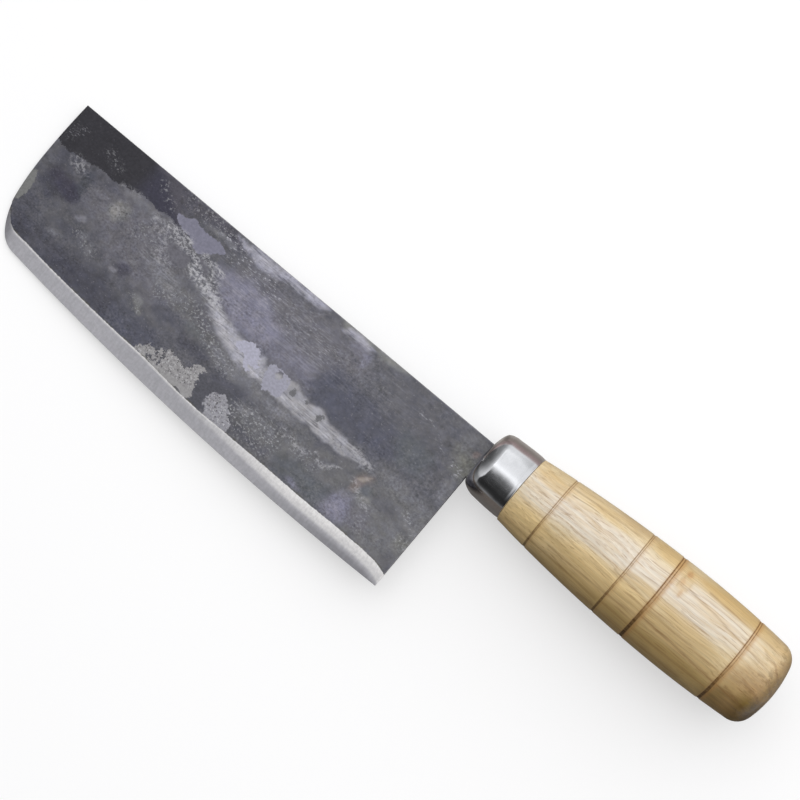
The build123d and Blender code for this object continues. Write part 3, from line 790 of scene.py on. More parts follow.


# Paint of the ground bevel: a painted highlight below its shoulder on the heel's half, and painted shade along
# the edge there and on a facet by the tip
def groundPaint(x, y, ground):
    tone = np.tile(linear(paints["groundSteel"]), (len(x), 1))
    tone *= 1 - 0.10 * ease(-150, -105, x)[:, None]
    heelShare = ease(-112, -40, x)
    below = ground / 7
    # Painted highlight of the convex bevel below its shoulder
    bright = heelShare * ease(0.30 + 0.36 * heelShare, 0.12 + 0.3 * heelShare, below)
    bright = np.maximum(bright, 0.75 * ease(0.9, 0.3, ground))
    bright *= 1 - 0.25 * ease(0.16, 0.34, below)
    layPaint(tone, paints["bevelHighlight"], bright)
    # Painted shade along the edge on the heel's half
    edgeShade = ease(-75, -5, x) * ease(0.62, 0.86, below)
    layPaint(tone, paints["bevelShade"], 0.9 * edgeShade)
    # Painted shade on the facet by the tip
    facet = ease(-185.0, -189.5, x + 0.25 * (y + 48)) * 0.8
    layPaint(tone, paints["bevelShade"], facet)
    return tone


def makeBlade():
    shape = bladeShape
    points, quads, neckStart, tangStart, edge, front = bladePattern()
    half, ground = bladeHalf(points, neckStart, tangStart, edge, front)
    loop = rimLoop(quads)
    ring = points[loop]
    before, after = np.roll(ring, 1, 0), np.roll(ring, -1, 0)
    along = (after - ring) / np.linalg.norm(after - ring, axis=1)[:, None]
    along += (ring - before) / np.linalg.norm(ring - before, axis=1)[:, None]
    along /= np.linalg.norm(along, axis=1)[:, None]
    outward = np.stack((along[:, 1], -along[:, 0]), -1)
    rounding = np.minimum(shape["spineRound"], half[loop] * 0.8)
    flat = points.copy()
    flat[loop] = ring - outward * rounding[:, None]
    place3 = np.concatenate((flat, np.zeros((len(flat), 1))), 1)
    relief = []
    for side, seed in ((1, 3.0), (-1, 41.0)):
        place3[:, 2] = side * 20
        wave = np.abs(rough(place3, 17.0, seed, 2)) * shape["waveDepth"]
        hammer = np.abs(rough(place3, 4.2, seed + 7, 3)) * shape["hammerDepth"]
        pit = ease(0.25, 0.6, rough(place3, 1.3, seed + 13, 2)) * shape["pitDepth"]
        fade = np.where(ground > 0, 0.25, 1.0) * np.minimum(half / 0.8, 1)
        fade[neckStart:] = 0.3
        relief.append((wave + hammer + pit) * fade)
    top = np.concatenate((flat, (half - relief[0])[:, None]), 1)
    bottom = np.concatenate((flat, -(half - relief[1])[:, None]), 1)
    count = len(flat)
    rings = []
    topZ, bottomZ = top[loop, 2], bottom[loop, 2]
    base = flat[loop]
    for angle in (30, 60, 90):
        reachOut = rounding * sin(radians(angle))
        rings.append((base + outward * reachOut[:, None], topZ - rounding * (1 - cos(radians(angle)))))
    for share in (0.25, 0.5, 0.75):
        level = (topZ - rounding) * (1 - share) + (bottomZ + rounding) * share
        rings.append((base + outward * rounding[:, None], level))
    for angle in (90, 60, 30):
        reachOut = rounding * sin(radians(angle))
        rings.append((base + outward * reachOut[:, None], bottomZ + rounding * (1 - cos(radians(angle)))))
    rimPoints = np.concatenate([np.concatenate((flatPart, level[:, None]), 1) for flatPart, level in rings])
    allPoints = np.concatenate((top, bottom, rimPoints))
    faces = [tuple(int(i) for i in quad) for quad in quads]
    faces += [tuple(int(i) + count for i in reversed(quad)) for quad in quads]
    size = len(loop)
    rails = [np.array(loop)] + [2 * count + k * size + np.arange(size) for k in range(len(rings))]
    rails += [np.array(loop) + count]
    for upper, lower in zip(rails[:-1], rails[1:]):
        for k in range(size):
            follow = (k + 1) % size
            faces.append((int(upper[k]), int(lower[k]), int(lower[follow]), int(upper[follow])))
    piece = makeMesh("forgedBlade", allPoints, faces)
    warp = rough(np.concatenate((flat, np.zeros((count, 1))), 1), 7.0, 91.0, 3)
    warpAcross = rough(np.concatenate((flat, np.ones((count, 1)) * 9), 1), 7.0, 23.0, 3)
    x, y = (flat + (flat - shape["markMiddle"]) * np.reshape(half, (-1, 1)) / shape["markDistance"]).T
    washX, washY = x + 1.6 * warp, y + 1.2 * warpAcross
    tone = np.zeros((len(allPoints), 3))
    fields = {}
    for cheek, where in ((upperCheek, slice(0, count)), (lowerCheek, slice(count, 2 * count))):
        tone[where] = paintTone(washX, washY, cheek)
        for name, values in markFields(x, y, cheek, tone[where]).items():
            blank = np.zeros((len(allPoints), 3)) if values.ndim == 2 else np.zeros(len(allPoints))
            fields.setdefault(name, blank)[where] = values
    groundEdge = np.zeros(len(allPoints))
    groundTone = np.zeros((len(allPoints), 3))
    for where in (slice(0, count), slice(count, 2 * count)):
        groundEdge[where] = ground
        groundTone[where] = groundPaint(x, y, ground)
    for k in range(len(rings)):
        where = slice(2 * count + k * size, 2 * count + (k + 1) * size)
        source = np.array(loop) + (0 if k < len(rings) / 2 else count)
        middle = 1 - abs(k - 4) / 4
        rimPaint = linear(paints["spineGrey" if middle > 0.5 else "mist"])
        tone[where] = tone[source] + (rimPaint - tone[source]) * 0.55
        groundEdge[where] = groundEdge[source]
        groundTone[where] = groundTone[source]
        for name, values in fields.items():
            values[where] = values[source]
    fields["tone"] = tone
    fields["groundEdge"] = groundEdge
    fields["groundTone"] = groundTone
    for name, values in fields.items():
        addField(piece, name, values)
    piece.data.shade_smooth()
    return piece


def bladeMaterial():
    material, tree, shader = newMaterial("forged steel with its scale")
    place = readField(tree, "place", "Vector")
    mottle = stretchNoise(tree, place, (0.26, 0.32, 0.3), 7, 0.68)
    grain = stretchNoise(tree, place, (1.0, 1.2, 1.1), 3, 0.62)
    ragged = stretchNoise(tree, place, (0.8, 0.8, 0.8), 6, 0.7, (5, 3, 1))
    hue = stretchNoise(tree, place, (0.24, 0.32, 0.3), 6, 0.7, (9, 1, 3))
    streaks = stretchNoise(tree, place, (0.14, 1.7, 0.8), 3, 0.6)
    flecks = stretchNoise(tree, place, (1.0, 1.15, 1.1), 4, 0.75, (2, 6, 5))
    shiver = minus(tree, timesPlus(tree, grain, 0.45, times(tree, ragged, 0.75)), 0.6)
    pits = readField(tree, "pits")

    coarse = stretchNoise(tree, place, (0.05, 0.09, 0.08), 2, 0.5, (4, 2, 7))
    cloud = stretchNoise(tree, place, (0.42, 0.6, 0.5), 4, 0.55, (6, 4, 2))
    contrast = times(tree, minus(tree, grain, 0.5), spread(tree, coarse, 0.38, 0.62, 0.25, 1.5))
    contrast = timesPlus(tree, minus(tree, cloud, 0.5), 0.55, contrast)
    amount = times(tree, spread(tree, mottle, 0.28, 0.72, 0.80, 1.18), plus(tree, contrast, 1.0))
    paint = shadePaint(tree, readField(tree, "tone", "Color"), amount)
    cast = mixPaint(tree, spread(tree, hue, 0.36, 0.64), (0.985, 0.99, 1.03), (1.02, 1.005, 0.97))
    paint = mixPaint(tree, 1.0, paint, cast, "MULTIPLY")
    brushed = readField(tree, "brushed")
    brush = times(tree, spread(tree, streaks, 0.48, 0.66), brushed)
    paint = mixPaint(tree, times(tree, brush, 0.6), paint, linear(paints["brushLight"]))
    groove = times(tree, spread(tree, streaks, 0.45, 0.34), times(tree, brushed, 0.8))
    paint = mixPaint(tree, groove, paint, linear(paints["brushDark"]))

    darkEdge = timesPlus(tree, shiver, 5.0, readField(tree, "darkEdge"))
    darkMask = spread(tree, darkEdge, -0.22, 0.25)
    quiet = times(tree, spread(tree, mottle, 0.28, 0.72, 0.9, 1.1),
                  spread(tree, grain, 0.32, 0.68, 0.88, 1.13))
    darkPaint = shadePaint(tree, readField(tree, "darkTone", "Color"), quiet)
    paint = mixPaint(tree, darkMask, paint, darkPaint)

    wear = times(tree, spread(tree, flecks, 0.60, 0.70), timesPlus(tree, darkMask, -0.26, 0.36))
    paint = mixPaint(tree, wear, paint, linear(paints["worn"]))
    stain = times(tree, spread(tree, flecks, 0.40, 0.30), 0.34)
    paint = mixPaint(tree, stain, paint, linear(paints["stain"]))

    lightShiver = times(tree, shiver, timesPlus(tree, pits, 4.5, 2.8))
    lightMask = spread(tree, plus(tree, lightShiver, readField(tree, "lightEdge")), -0.16, 0.2)
    lightPaint = shadePaint(tree, readField(tree, "lightTone", "Color"),
                            spread(tree, grain, 0.34, 0.66, 0.90, 1.09))
    crumbs = times(tree, spread(tree, ragged, 0.52, 0.42), pits)
    lightPaint = mixPaint(tree, times(tree, crumbs, 0.55), lightPaint, linear(paints["crumb"]))
    frost = times(tree, spread(tree, flecks, 0.52, 0.64), pits)
    lightPaint = mixPaint(tree, times(tree, frost, 0.65), lightPaint, linear(paints["rime"]))
    paint = mixPaint(tree, lightMask, paint, lightPaint)

    masks = {}
    for kind, fleck in fleckKinds.items():
        flecking = stretchNoise(tree, place, *fleck["noise"])
        strength = readField(tree, kind)
        mask = times(tree, spread(tree, flecking, *fleck["light"]), strength)
        if kind == "lace":
            mask = times(tree, mask, spread(tree, grain, 0.36, 0.56, 0.45, 1.0))
        masks[kind] = mask
        lightPaint, darkPaint = [linear(paints[name]) for name in fleck["paints"]]
        paint = mixPaint(tree, mask, paint, lightPaint)
        strength = times(tree, strength, fleck["darkness"])
        shade = times(tree, spread(tree, flecking, *fleck["dark"]), strength)
        paint = mixPaint(tree, shade, paint, darkPaint)

    pitCells = addCells(tree, stretchPlace(tree, place, (0.9, 0.9, 0.9), (0, 0, 0)), 1)
    pitDot = spread(tree, timesPlus(tree, shiver, 0.5, pitCells), 0.30, 0.12)
    pitMask = times(tree, pitDot, pits)
    paint = mixPaint(tree, times(tree, pitMask, 0.8), paint, linear(paints["pitDark"]))

    groundEdge = readField(tree, "groundEdge")
    burr = times(tree, spread(tree, groundEdge, -0.75, -0.1), spread(tree, hue, 0.48, 0.60))
    paint = mixPaint(tree, times(tree, burr, 0.5), paint, linear(paints["burr"]))
    groundMask = spread(tree, timesPlus(tree, shiver, 0.8, groundEdge), -0.10, 0.14)
    stoneLines = stretchNoise(tree, place, (1.1, 0.28, 1.0), 3, 0.6)
    stoneAmount = times(tree, spread(tree, stoneLines, 0.34, 0.66, 0.94, 1.05),
                        spread(tree, grain, 0.34, 0.66, 0.95, 1.05))
    groundPaintSocket = shadePaint(tree, readField(tree, "groundTone", "Color"), stoneAmount)
    paint = mixPaint(tree, groundMask, paint, groundPaintSocket)

    setInput(tree, shader.inputs["Base Color"], shadePaint(tree, paint, bladeShape["paintLevel"]))
    roughness = plus(tree, spread(tree, mottle, 0.3, 0.7, 0.44, 0.60), times(tree, darkMask, 0.06))
    roughness = minus(tree, roughness, times(tree, lightMask, 0.10))
    roughness = minus(tree, roughness, times(tree, groundMask, 0.08))
    setInput(tree, shader.inputs["Roughness"], roughness)
    metal = minus(tree, 0.48, times(tree, darkMask, 0.1))
    setInput(tree, shader.inputs["Metallic"], metal)
    height = timesPlus(tree, grain, 0.6, times(tree, mottle, 0.8))
    height = timesPlus(tree, darkMask, 0.25, height)
    height = minus(tree, height, times(tree, lightMask, 0.25))
    height = timesPlus(tree, masks["lace"], 0.4, height)
    height = minus(tree, height, times(tree, pitMask, 0.5))
    height = minus(tree, height, times(tree, groundMask, 0.6))
    setInput(tree, shader.inputs["Normal"], addBump(tree, height, 0.00006, 0.6))
    return material


# The pressed ferrule, its front a little askew to the handle, and the slot that the blade's neck fills
ferruleShape = {
    "length": 17.8,
    "wall": 0.8,
    "frontRadius": 12.95,
    "rearRadius": 13.3,
    "noseRadius": 3.2,
    "noseTurn": 50.0,
    "capRadius": 8.8,
    "sideLean": 3.8,
    "sideSwell": 0.12,
    "rim": 0.4,
    "rearTaper": 0.13,  # the rear edge is drawn in by this
    "skew": 0.056,
    "skewReach": 6.4,
    "fullness": [(0.0, 0.0), (0.5, 0.7), (1.1, 1.05), (2.0, 0.82), (4.0, 0.25), (6.8, 0.0)],
    "slotHalf": 1.42,
    "slotLow": -9.45,
    "slotHigh": 5.98,
    "segments": 168,
    "bright": (238, 238, 241),
    "darkReflectionPaint": (92, 90, 96),
    # Painted reflections: dark patches that stand in for dark surroundings the cap mirrors there; each is
    # strength, middle and half sizes
    "paintedReflections": [(0.75, 0.9, -10.4, 2.2, 1.9), (0.9, 4.6, -10.1, 4.0, 1.4), (0.5, 2.6, 10.6, 1.0, 1.3),
                (0.75, 1.0, 3.4, 1.3, 3.4), (0.28, 4.5, 8.2, 1.6, 1.3), (0.35, 4.2, 9.4, 2.2, 0.6)],
    "faceRadius": 8.44,
    "sharpAngle": 38,
}


def capProfile(depth):
    shape = ferruleShape
    lift = sin(radians(shape["noseTurn"]))
    noseMiddle = shape["frontRadius"] - shape["capRadius"] * (1 - lift) - shape["noseRadius"] * lift
    capEnd = (shape["noseRadius"] * (1 - cos(radians(shape["noseTurn"])))
              + shape["capRadius"] * cos(radians(shape["noseTurn"])))
    profile = []
    for angle in np.linspace(180, 180 - shape["noseTurn"], 16):
        radius = shape["noseRadius"] - depth
        profile.append((shape["noseRadius"] + radius * cos(radians(angle)),
                        noseMiddle + radius * sin(radians(angle))))
    for angle in np.linspace(180 - shape["noseTurn"], 90 + shape["sideLean"], 16)[1:]:
        radius = shape["capRadius"] - depth
        middle = (capEnd, shape["frontRadius"] - shape["capRadius"])
        profile.append((middle[0] + radius * cos(radians(angle)), middle[1] + radius * sin(radians(angle))))
    return profile


def turnProfile(profile, segments):
    points, faces = [], []
    rails = []
    for x, radius in profile:
        if radius < 1e-6:
            rails.append([len(points)] * segments)
            points.append((x, 0, 0))
            continue
        rails.append(list(range(len(points), len(points) + segments)))
        for k in range(segments):
            angle = 2 * pi * k / segments
            points.append((x, radius * cos(angle), radius * sin(angle)))
    for first, second in zip(rails[:-1], rails[1:]):
        for k in range(segments):
            follow = (k + 1) % segments
            face = []
            for index in (first[k], first[follow], second[follow], second[k]):
                if index not in face:
                    face.append(index)
            if len(face) > 2:
                faces.append(tuple(face))
    return np.array(points), faces


# The cap's front leans back towards the spine, where its corner is also fuller
def skewFront(knife, isShell):
    shape = ferruleShape
    if isShell:
        radius = np.hypot(knife[:, 1], knife[:, 2])
        marks, extras = zip(*shape["fullness"])
        side = np.clip(knife[:, 1] / np.maximum(radius, 1), -0.2, 1)
        extra = (np.interp(knife[:, 0], marks, extras) * np.where(side > 0, side**2, 0.2)
                 * ease(8.6, 9.6, radius))
        knife[:, 1:] *= (1 + extra / np.maximum(radius, 1))[:, None]
    lean = shape["skew"] * (knife[:, 1] - shape["slotLow"]) * (1 - ease(0.8, shape["skewReach"], knife[:, 0]))
    knife[:, 0] += np.maximum(lean, 0)
    return knife


def makeFerrule():
    shape = ferruleShape
    outer = [(0, r) for r in np.linspace(0, shape["faceRadius"], 13)[:-1]] + capProfile(0)
    sideStart = outer[-1]
    for share in np.concatenate((np.linspace(0, 0.84, 20)[1:], np.linspace(0.86, 1, 11))):
        x = sideStart[0] + (shape["length"] - shape["rim"] - sideStart[0]) * share
        swell = shape["sideSwell"] * sin(pi * share) - shape["rearTaper"] * ease(0.86, 1.0, share)
        outer.append((x, sideStart[1] + (shape["rearRadius"] - sideStart[1]) * share + swell))
    for angle in (30, 60, 90):
        outer.append((shape["length"] - shape["rim"] * (1 - sin(radians(angle))),
                      shape["rearRadius"] - shape["rearTaper"] - shape["rim"] * (1 - cos(radians(angle)))))
    inner = [(shape["wall"], r) for r in np.linspace(0, shape["faceRadius"], 13)[:-1]]
    inner += capProfile(shape["wall"])
    bendPlace, bendRadius = inner[-1]
    inner += [(x, np.interp(x, (bendPlace, shape["length"]),
                            (bendRadius, shape["rearRadius"] - shape["wall"])))
              for x in np.linspace(bendPlace, shape["length"], 10)[1:]]
    profile = outer + inner[::-1]
    points, faces = turnProfile(profile, shape["segments"])
    piece = makeMesh("ferruleCap", points, faces)
    slot = makeMesh("slotCutter", np.array([
        (x, y, z) for x in (-2, 5.0) for y in (shape["slotLow"], shape["slotHigh"])
        for z in (-shape["slotHalf"], shape["slotHalf"])
    ]), [(0, 1, 3, 2), (4, 6, 7, 5), (0, 4, 5, 1), (2, 3, 7, 6), (0, 2, 6, 4), (1, 5, 7, 3)])
    faceOutward(piece.data)
    faceOutward(slot.data)
    cut = piece.modifiers.new("slot", "BOOLEAN")
    cut.object = slot
    cut.operation = "DIFFERENCE"
    cut.solver = "EXACT"
    bpy.context.view_layer.update()
    cutMesh = bpy.data.meshes.new_from_object(piece.evaluated_get(bpy.context.evaluated_depsgraph_get()))
    piece.modifiers.clear()
    piece.data = cutMesh
    cutMesh.name = "ferruleCap"
    bpy.data.objects.remove(slot)
    knife = skewFront(knifePoints(cutMesh), True)
    cutMesh.vertices.foreach_set("co", toTable(knife).ravel())
    cutMesh.update()
    if "place" in cutMesh.attributes:
        cutMesh.attributes.remove(cutMesh.attributes["place"])
    addField(piece, "place", knife)
    # Painted reflection: how strongly each point takes the dark patches
    darkReflection = np.zeros(len(knife))
    for strength, middleX, middleY, long, wide in shape["paintedReflections"]:
        away = np.hypot((knife[:, 0] - middleX) / long, (knife[:, 1] - middleY) / wide)
        darkReflection = np.maximum(darkReflection, strength * ease(1.4, 0.5, away))
    addField(piece, "darkReflection", darkReflection)
    piece.data.shade_smooth()
    piece.data.set_sharp_from_angle(angle=radians(shape["sharpAngle"]))
    return piece


def ferruleMaterial():
    material, tree, shader = newMaterial("polished steel, lightly scratched")
    place = readField(tree, "place", "Vector")
    smear = stretchNoise(tree, place, (0.25, 0.25, 0.25), 4, 0.6)
    polish = stretchNoise(tree, place, (5.0, 0.45, 0.45), 3, 0.6)
    nick = stretchNoise(tree, place, (1.1, 0.5, 0.5), 5, 0.7, (4, 1, 2))
    amount = times(tree, spread(tree, smear, 0.3, 0.7, 0.93, 1.0), spread(tree, polish, 0.3, 0.7, 0.97, 1.01))
    # Painted dark reflections mixed into the bright steel
    darkReflection = times(tree, readField(tree, "darkReflection"), spread(tree, nick, 0.3, 0.6, 0.75, 1.0))
    paint = mixPaint(tree, darkReflection, linear(ferruleShape["bright"]), linear(ferruleShape["darkReflectionPaint"]))
    paint = shadePaint(tree, paint, amount)
    setInput(tree, shader.inputs["Base Color"], paint)
    shader.inputs["Metallic"].default_value = 1
    roughness = plus(tree, spread(tree, smear, 0.35, 0.7, 0.10, 0.15), spread(tree, nick, 0.55, 0.7, 0, 0.06))
    setInput(tree, shader.inputs["Roughness"], roughness)
    height = plus(tree, polish, times(tree, smear, 1.5))
    setInput(tree, shader.inputs["Normal"], addBump(tree, height, 0.00004, 0.10))
    return material


# The turned handle: a spigot in the ferrule, the swell, four burnt grooves and a domed butt
handleShape = {
    "collar": 17.85,
    "collarRadius": 13.4,
    "belly": 87.995,
    "bellyRadius": 17.71,
    "buttPlace": 121.0,
    "buttRadius": 16.2,
    "end": 127.88,
    "domeRadius": 44.0,
    "cornerRadius": 6.8,
    "cant": 0.66,
    "cantPlace": 42.2,
    "ringLean": 0.036,  # how far the burnt rings lean on the edge's side
    "spigot": 7.4,
    "spigotChamfer": 0.6,
    "bore": 5.0,
    "boreEnd": 103.4,
    "drillAngle": 118.0,
    # Each groove is its middle, its width, how dark its burn is and how far the burn spreads
    "grooves": [(31.25, 0.85, 0.72, 0.3), (63.45, 0.85, 0.76, 0.35), (76.3, 1.25, 1.0, 0.75),
                (109.6, 1.1, 0.95, 0.7)],
    "grooveDepth": 0.2,
    "spacing": 0.55,
    "segments": 190,
    "grainDepth": 0.035,
    "wallFront": (6.8, 12.15), "wallRear": (17.8, 12.5), "clearance": 0.05,  # inside of the ferrule
    "collarRadii": (12.7, 13.05),
    "sideEnd": 117.0,
    "sharpAngle": 50,
}


def arcRadius(place, belly, bellyRadius, end, endRadius):
    run, drop = belly - end, bellyRadius - endRadius
    radius = (run**2 + drop**2) / (2 * drop)
    return bellyRadius - radius + np.sqrt(radius**2 - (place - belly) ** 2)


def swellRadius(place):
    shape = handleShape
    front = arcRadius(place, shape["belly"], shape["bellyRadius"], shape["collar"], shape["collarRadius"])
    rear = arcRadius(place, shape["belly"], shape["bellyRadius"], shape["buttPlace"], shape["buttRadius"])
    return np.where(place < shape["belly"], front, rear)


# The outside of the wood from the collar to the middle of the butt, its corner rounded
def woodProfile():
    shape = handleShape
    places = list(np.arange(shape["collar"], shape["sideEnd"], shape["spacing"]))
    for place, width, _, _ in shape["grooves"]:
        places = [p for p in places if abs(p - place) > width * 0.95]
        places += list(place + width * np.linspace(-0.9, 0.9, 25))
    places = sorted(places)
    side = [(p, float(swellRadius(np.array(p)))) for p in places]
    domeMiddle = shape["end"] - shape["domeRadius"]
    corner = shape["cornerRadius"]
    best = None
    for trial in np.linspace(110, 125, 3001):
        slope = float(swellRadius(np.array(trial + 0.01)) - swellRadius(np.array(trial - 0.01))) / 0.02
        length = sqrt(1 + slope**2)
        middle = (trial + corner * slope / length, float(swellRadius(np.array(trial))) - corner / length)
        gap = abs(np.hypot(middle[0] - domeMiddle, middle[1]) - (shape["domeRadius"] - corner))
        if best is None or gap < best[0]:
            best = (gap, trial, middle, np.arctan2(1, -slope))
    _, start, middle, startAngle = best
    endAngle = np.arctan2(middle[1], middle[0] - domeMiddle)
    side = [p for p in side if p[0] < start - 0.2]
    for angle in np.linspace(startAngle, endAngle, 22):
        side.append((middle[0] + corner * cos(angle), middle[1] + corner * sin(angle)))
    for angle in np.linspace(endAngle, 0, 26)[1:]:
        side.append((domeMiddle + shape["domeRadius"] * cos(angle), shape["domeRadius"] * sin(angle)))
    return side


def grooveDrop(place):
    shape = handleShape
    drop = np.zeros(np.shape(place))
    for middle, width, _, _ in shape["grooves"]:
        offset = np.abs(place - middle) / (width / 2)
        wall = ease(1.25, 0.8, offset)
        crown = 1 - 0.35 * ease(0.75, 0.0, offset)
        drop = np.maximum(drop, shape["grooveDepth"] * wall * crown)
    return drop


def makeHandle():
    shape = handleShape
    bore = shape["bore"]

    (front, frontRadius), (rear, rearRadius) = shape["wallFront"], shape["wallRear"]

    def wall(x):
        return frontRadius + (x - front) * (rearRadius - frontRadius) / (rear - front)

    point = bore / tan(radians(shape["drillAngle"] / 2))
    inside = [(shape["boreEnd"] + point, 0.0)]
    inside += [(x, bore) for x in np.linspace(shape["boreEnd"], shape["spigot"], 30)]
    spigotRadius = wall(shape["spigot"]) - shape["clearance"]
    inside += [(shape["spigot"], r) for r in np.linspace(bore, spigotRadius - shape["spigotChamfer"], 6)[1:]]
    inside += [(x, wall(x) - shape["clearance"])
               for x in np.linspace(shape["spigot"] + shape["spigotChamfer"], rear, 8)]
    outside = woodProfile()
    count = len(inside)
    profile = inside + [(shape["collar"], r) for r in shape["collarRadii"]] + outside
    points, faces = turnProfile(profile, shape["segments"])
    startOut = 1 + (count - 1) * shape["segments"]
    outer = points[startOut:]
    places = outer[:, 0].copy()
    radius = np.hypot(outer[:, 1], outer[:, 2])
    stretched = outer * np.array((0.12, 1.0, 1.0))
    grain = rough(stretched, 1.5, 5.0, 3)
    drop = grooveDrop(places) + shape["grainDepth"] * ease(0.1, 0.9, grain)
    scale = np.where(radius > 1, (radius - drop) / np.maximum(radius, 1), 1)
    onFace = radius > 13.2
    scale = np.where(onFace | (places > 100), scale, 1)
    outer[:, 1] *= scale
    outer[:, 2] *= scale
    turn = radians(shape["cant"])
    straight = points.copy()
    canted = outer - np.array((shape["cantPlace"], 0, 0))
    canted = np.stack((canted[:, 0] * cos(turn) - canted[:, 1] * sin(turn),
                       canted[:, 0] * sin(turn) + canted[:, 1] * cos(turn), canted[:, 2]), -1)
    canted += np.array((shape["cantPlace"], 0, 0))
    canted[:, 0] += (shape["ringLean"] * np.minimum(outer[:, 1], 0)
                     * ease(19, 27, places) * ease(122, 114, places))
    canted[:, 0] = np.where(places < shape["collar"] + 0.01, shape["collar"], canted[:, 0])
    points[startOut:] = canted
    piece = makeMesh("turnedHandle", points, faces)
    faceOutward(piece.data)
    burn, stain = np.zeros(len(points)), np.zeros(len(points))
    for middle, width, strength, halo in shape["grooves"]:
        offset = (straight[:, 0] - middle) / (width / 2)
        # Low on the handle the burn is painted broader and darker: real burn with painted shade of the shaded
        # side
        low = ease(2, -10, straight[:, 1])
        left = ease(0.62, 0.12, np.abs(offset + 0.72))
        right = ease(0.45, 0.10, np.abs(offset - 0.80)) * (0.45 + 0.35 * ease(6, 12, straight[:, 1]))
        burn = np.maximum(burn, strength * np.maximum(left, right))
        burn = np.maximum(burn, strength * low * ease(1.3, 0.5, np.abs(offset)))
        stain = np.maximum(stain, halo * ease(3.2, 0.8, np.abs(offset - 0.7)))
    burn[:startOut] = stain[:startOut] = 0
    addField(piece, "stain", stain)
    addField(piece, "burn", burn)
    x, y, z = straight.T
    tone = np.tile(linear(woodPaints["cream"]), (len(points), 1))
    for name, strength, *oval in woodSpots:
        layPaint(tone, woodPaints[name], strength * ovalShare(x, y, oval, 0.5) * ease(-4, 4, z))
    end = ease(108, 124, x) * (0.85 - 0.5 * ease(-7, 6, y) * ease(125.5, 122, x))
    layPaint(tone, woodPaints["endGrain"], end)
    lowButtShade = ease(116.5, 122.5, x) * ease(-2.5, -8, y)
    dome = ease(121.5, 125, x) * (1 - 0.45 * ease(2, 10, y) * ease(126.5, 124.5, x))
    # Painted shade darkens the butt, low down and on its dome
    paintedButtShade = (1 - lowButtShade[:, None] * (0.58, 0.61, 0.86)) * (1 - dome[:, None] * (0.50, 0.53, 0.72))
    addField(piece, "paintedButtShade", paintedButtShade)
    addField(piece, "tone", tone)
    lines = np.zeros(len(points))
    for strength, wide, line in woodLines:
        stroke = ease(wide * 1.6, wide * 0.3, lineDistance(x, y, line))
        lines = np.maximum(lines, strength * stroke * ease(-1, 3, z))
    addField(piece, "lines", lines)
    piece.data.shade_smooth()
    piece.data.set_sharp_from_angle(angle=radians(shape["sharpAngle"]))
    return piece


woodPaints = {
    "cream": (218, 199, 160), "tan": (200, 170, 114), "brown": (160, 122, 70), "endGrain": (166, 132, 84),
    "pale": (216, 206, 190), "olive": (176, 148, 90), "vein": (146, 106, 58), "stain": (176, 130, 74),
    "burnt": (110, 74, 18), "shadedBurn": (66, 43, 10), "knot": (184, 130, 78), "umber": (110, 84, 34),
    "honey": (232, 204, 148),
    "lateWood": (188, 152, 94), "pore": (150, 112, 66), "line": (134, 96, 52),
}

# Wood spots are paint, strength, middle, half sizes and tilt; wood lines are strength, width and line. The pale
# spots along the upper band are a painted sheen of the lacquer; the tan, olive and umber spots low on the side
# and on the butt are partly the wood's own tone and partly painted shade.
woodSpots = [
    ("pale", 0.95, 50, 5.4, 36, 6.4, 0), ("pale", 0.95, 93, 7, 22, 6.4, 2),
    ("pale", 0.7, 26, 3, 12, 6, 0), ("tan", 0.75, 82, -9, 46, 7, 0), ("olive", 0.7, 76, -15, 58, 5, 0),
    ("honey", 0.9, 26, -9, 11, 7, 0), ("honey", 0.5, 52, -3.4, 12, 2.4, 0),
    ("honey", 0.6, 68, -3.6, 8, 2.2, 0), ("tan", 0.5, 70, 0.6, 8, 2, 0), ("tan", 0.6, 26, 9, 8, 3, 0),
    ("tan", 0.6, 92, -1, 16, 2.4, -4), ("tan", 0.5, 44, -6.5, 14, 1.6, -2),
    ("brown", 0.35, 57, 15.6, 10, 1.5, 0), ("tan", 0.5, 81, 11, 3, 5, 0),
    ("cream", 0.8, 46, 11.4, 14, 1.6, 2), ("tan", 0.7, 72, 15, 8, 2.6, 0),
    ("tan", 0.85, 100, 15, 18, 2.8, 0), ("umber", 0.8, 117, -12, 9, 5, 8),
    ("brown", 0.55, 117, -2.5, 7, 6, 0), ("brown", 0.45, 124, -3, 4.5, 8, 0),
    ("brown", 0.35, 124, 8, 3, 4, 0), ("umber", 0.7, 125.0, -9.4, 3.6, 5.0, -30),
    ("umber", 0.5, 127.4, -1, 1.6, 8, 0), ("umber", 0.4, 121, -15, 7, 2.2, 8),
    ("olive", 0.6, 98, -11.5, 16, 2, 0), ("olive", 0.5, 56, -12, 14, 1.6, 0),
    ("honey", 0.4, 50, -9, 16, 6, 0), ("knot", 0.6, 81, 13.8, 1.2, 1.2, 0),
    ("knot", 0.35, 80.4, 10.4, 0.9, 1.6, 10), ("knot", 0.4, 82, 6.6, 0.8, 1.6, 0),
]
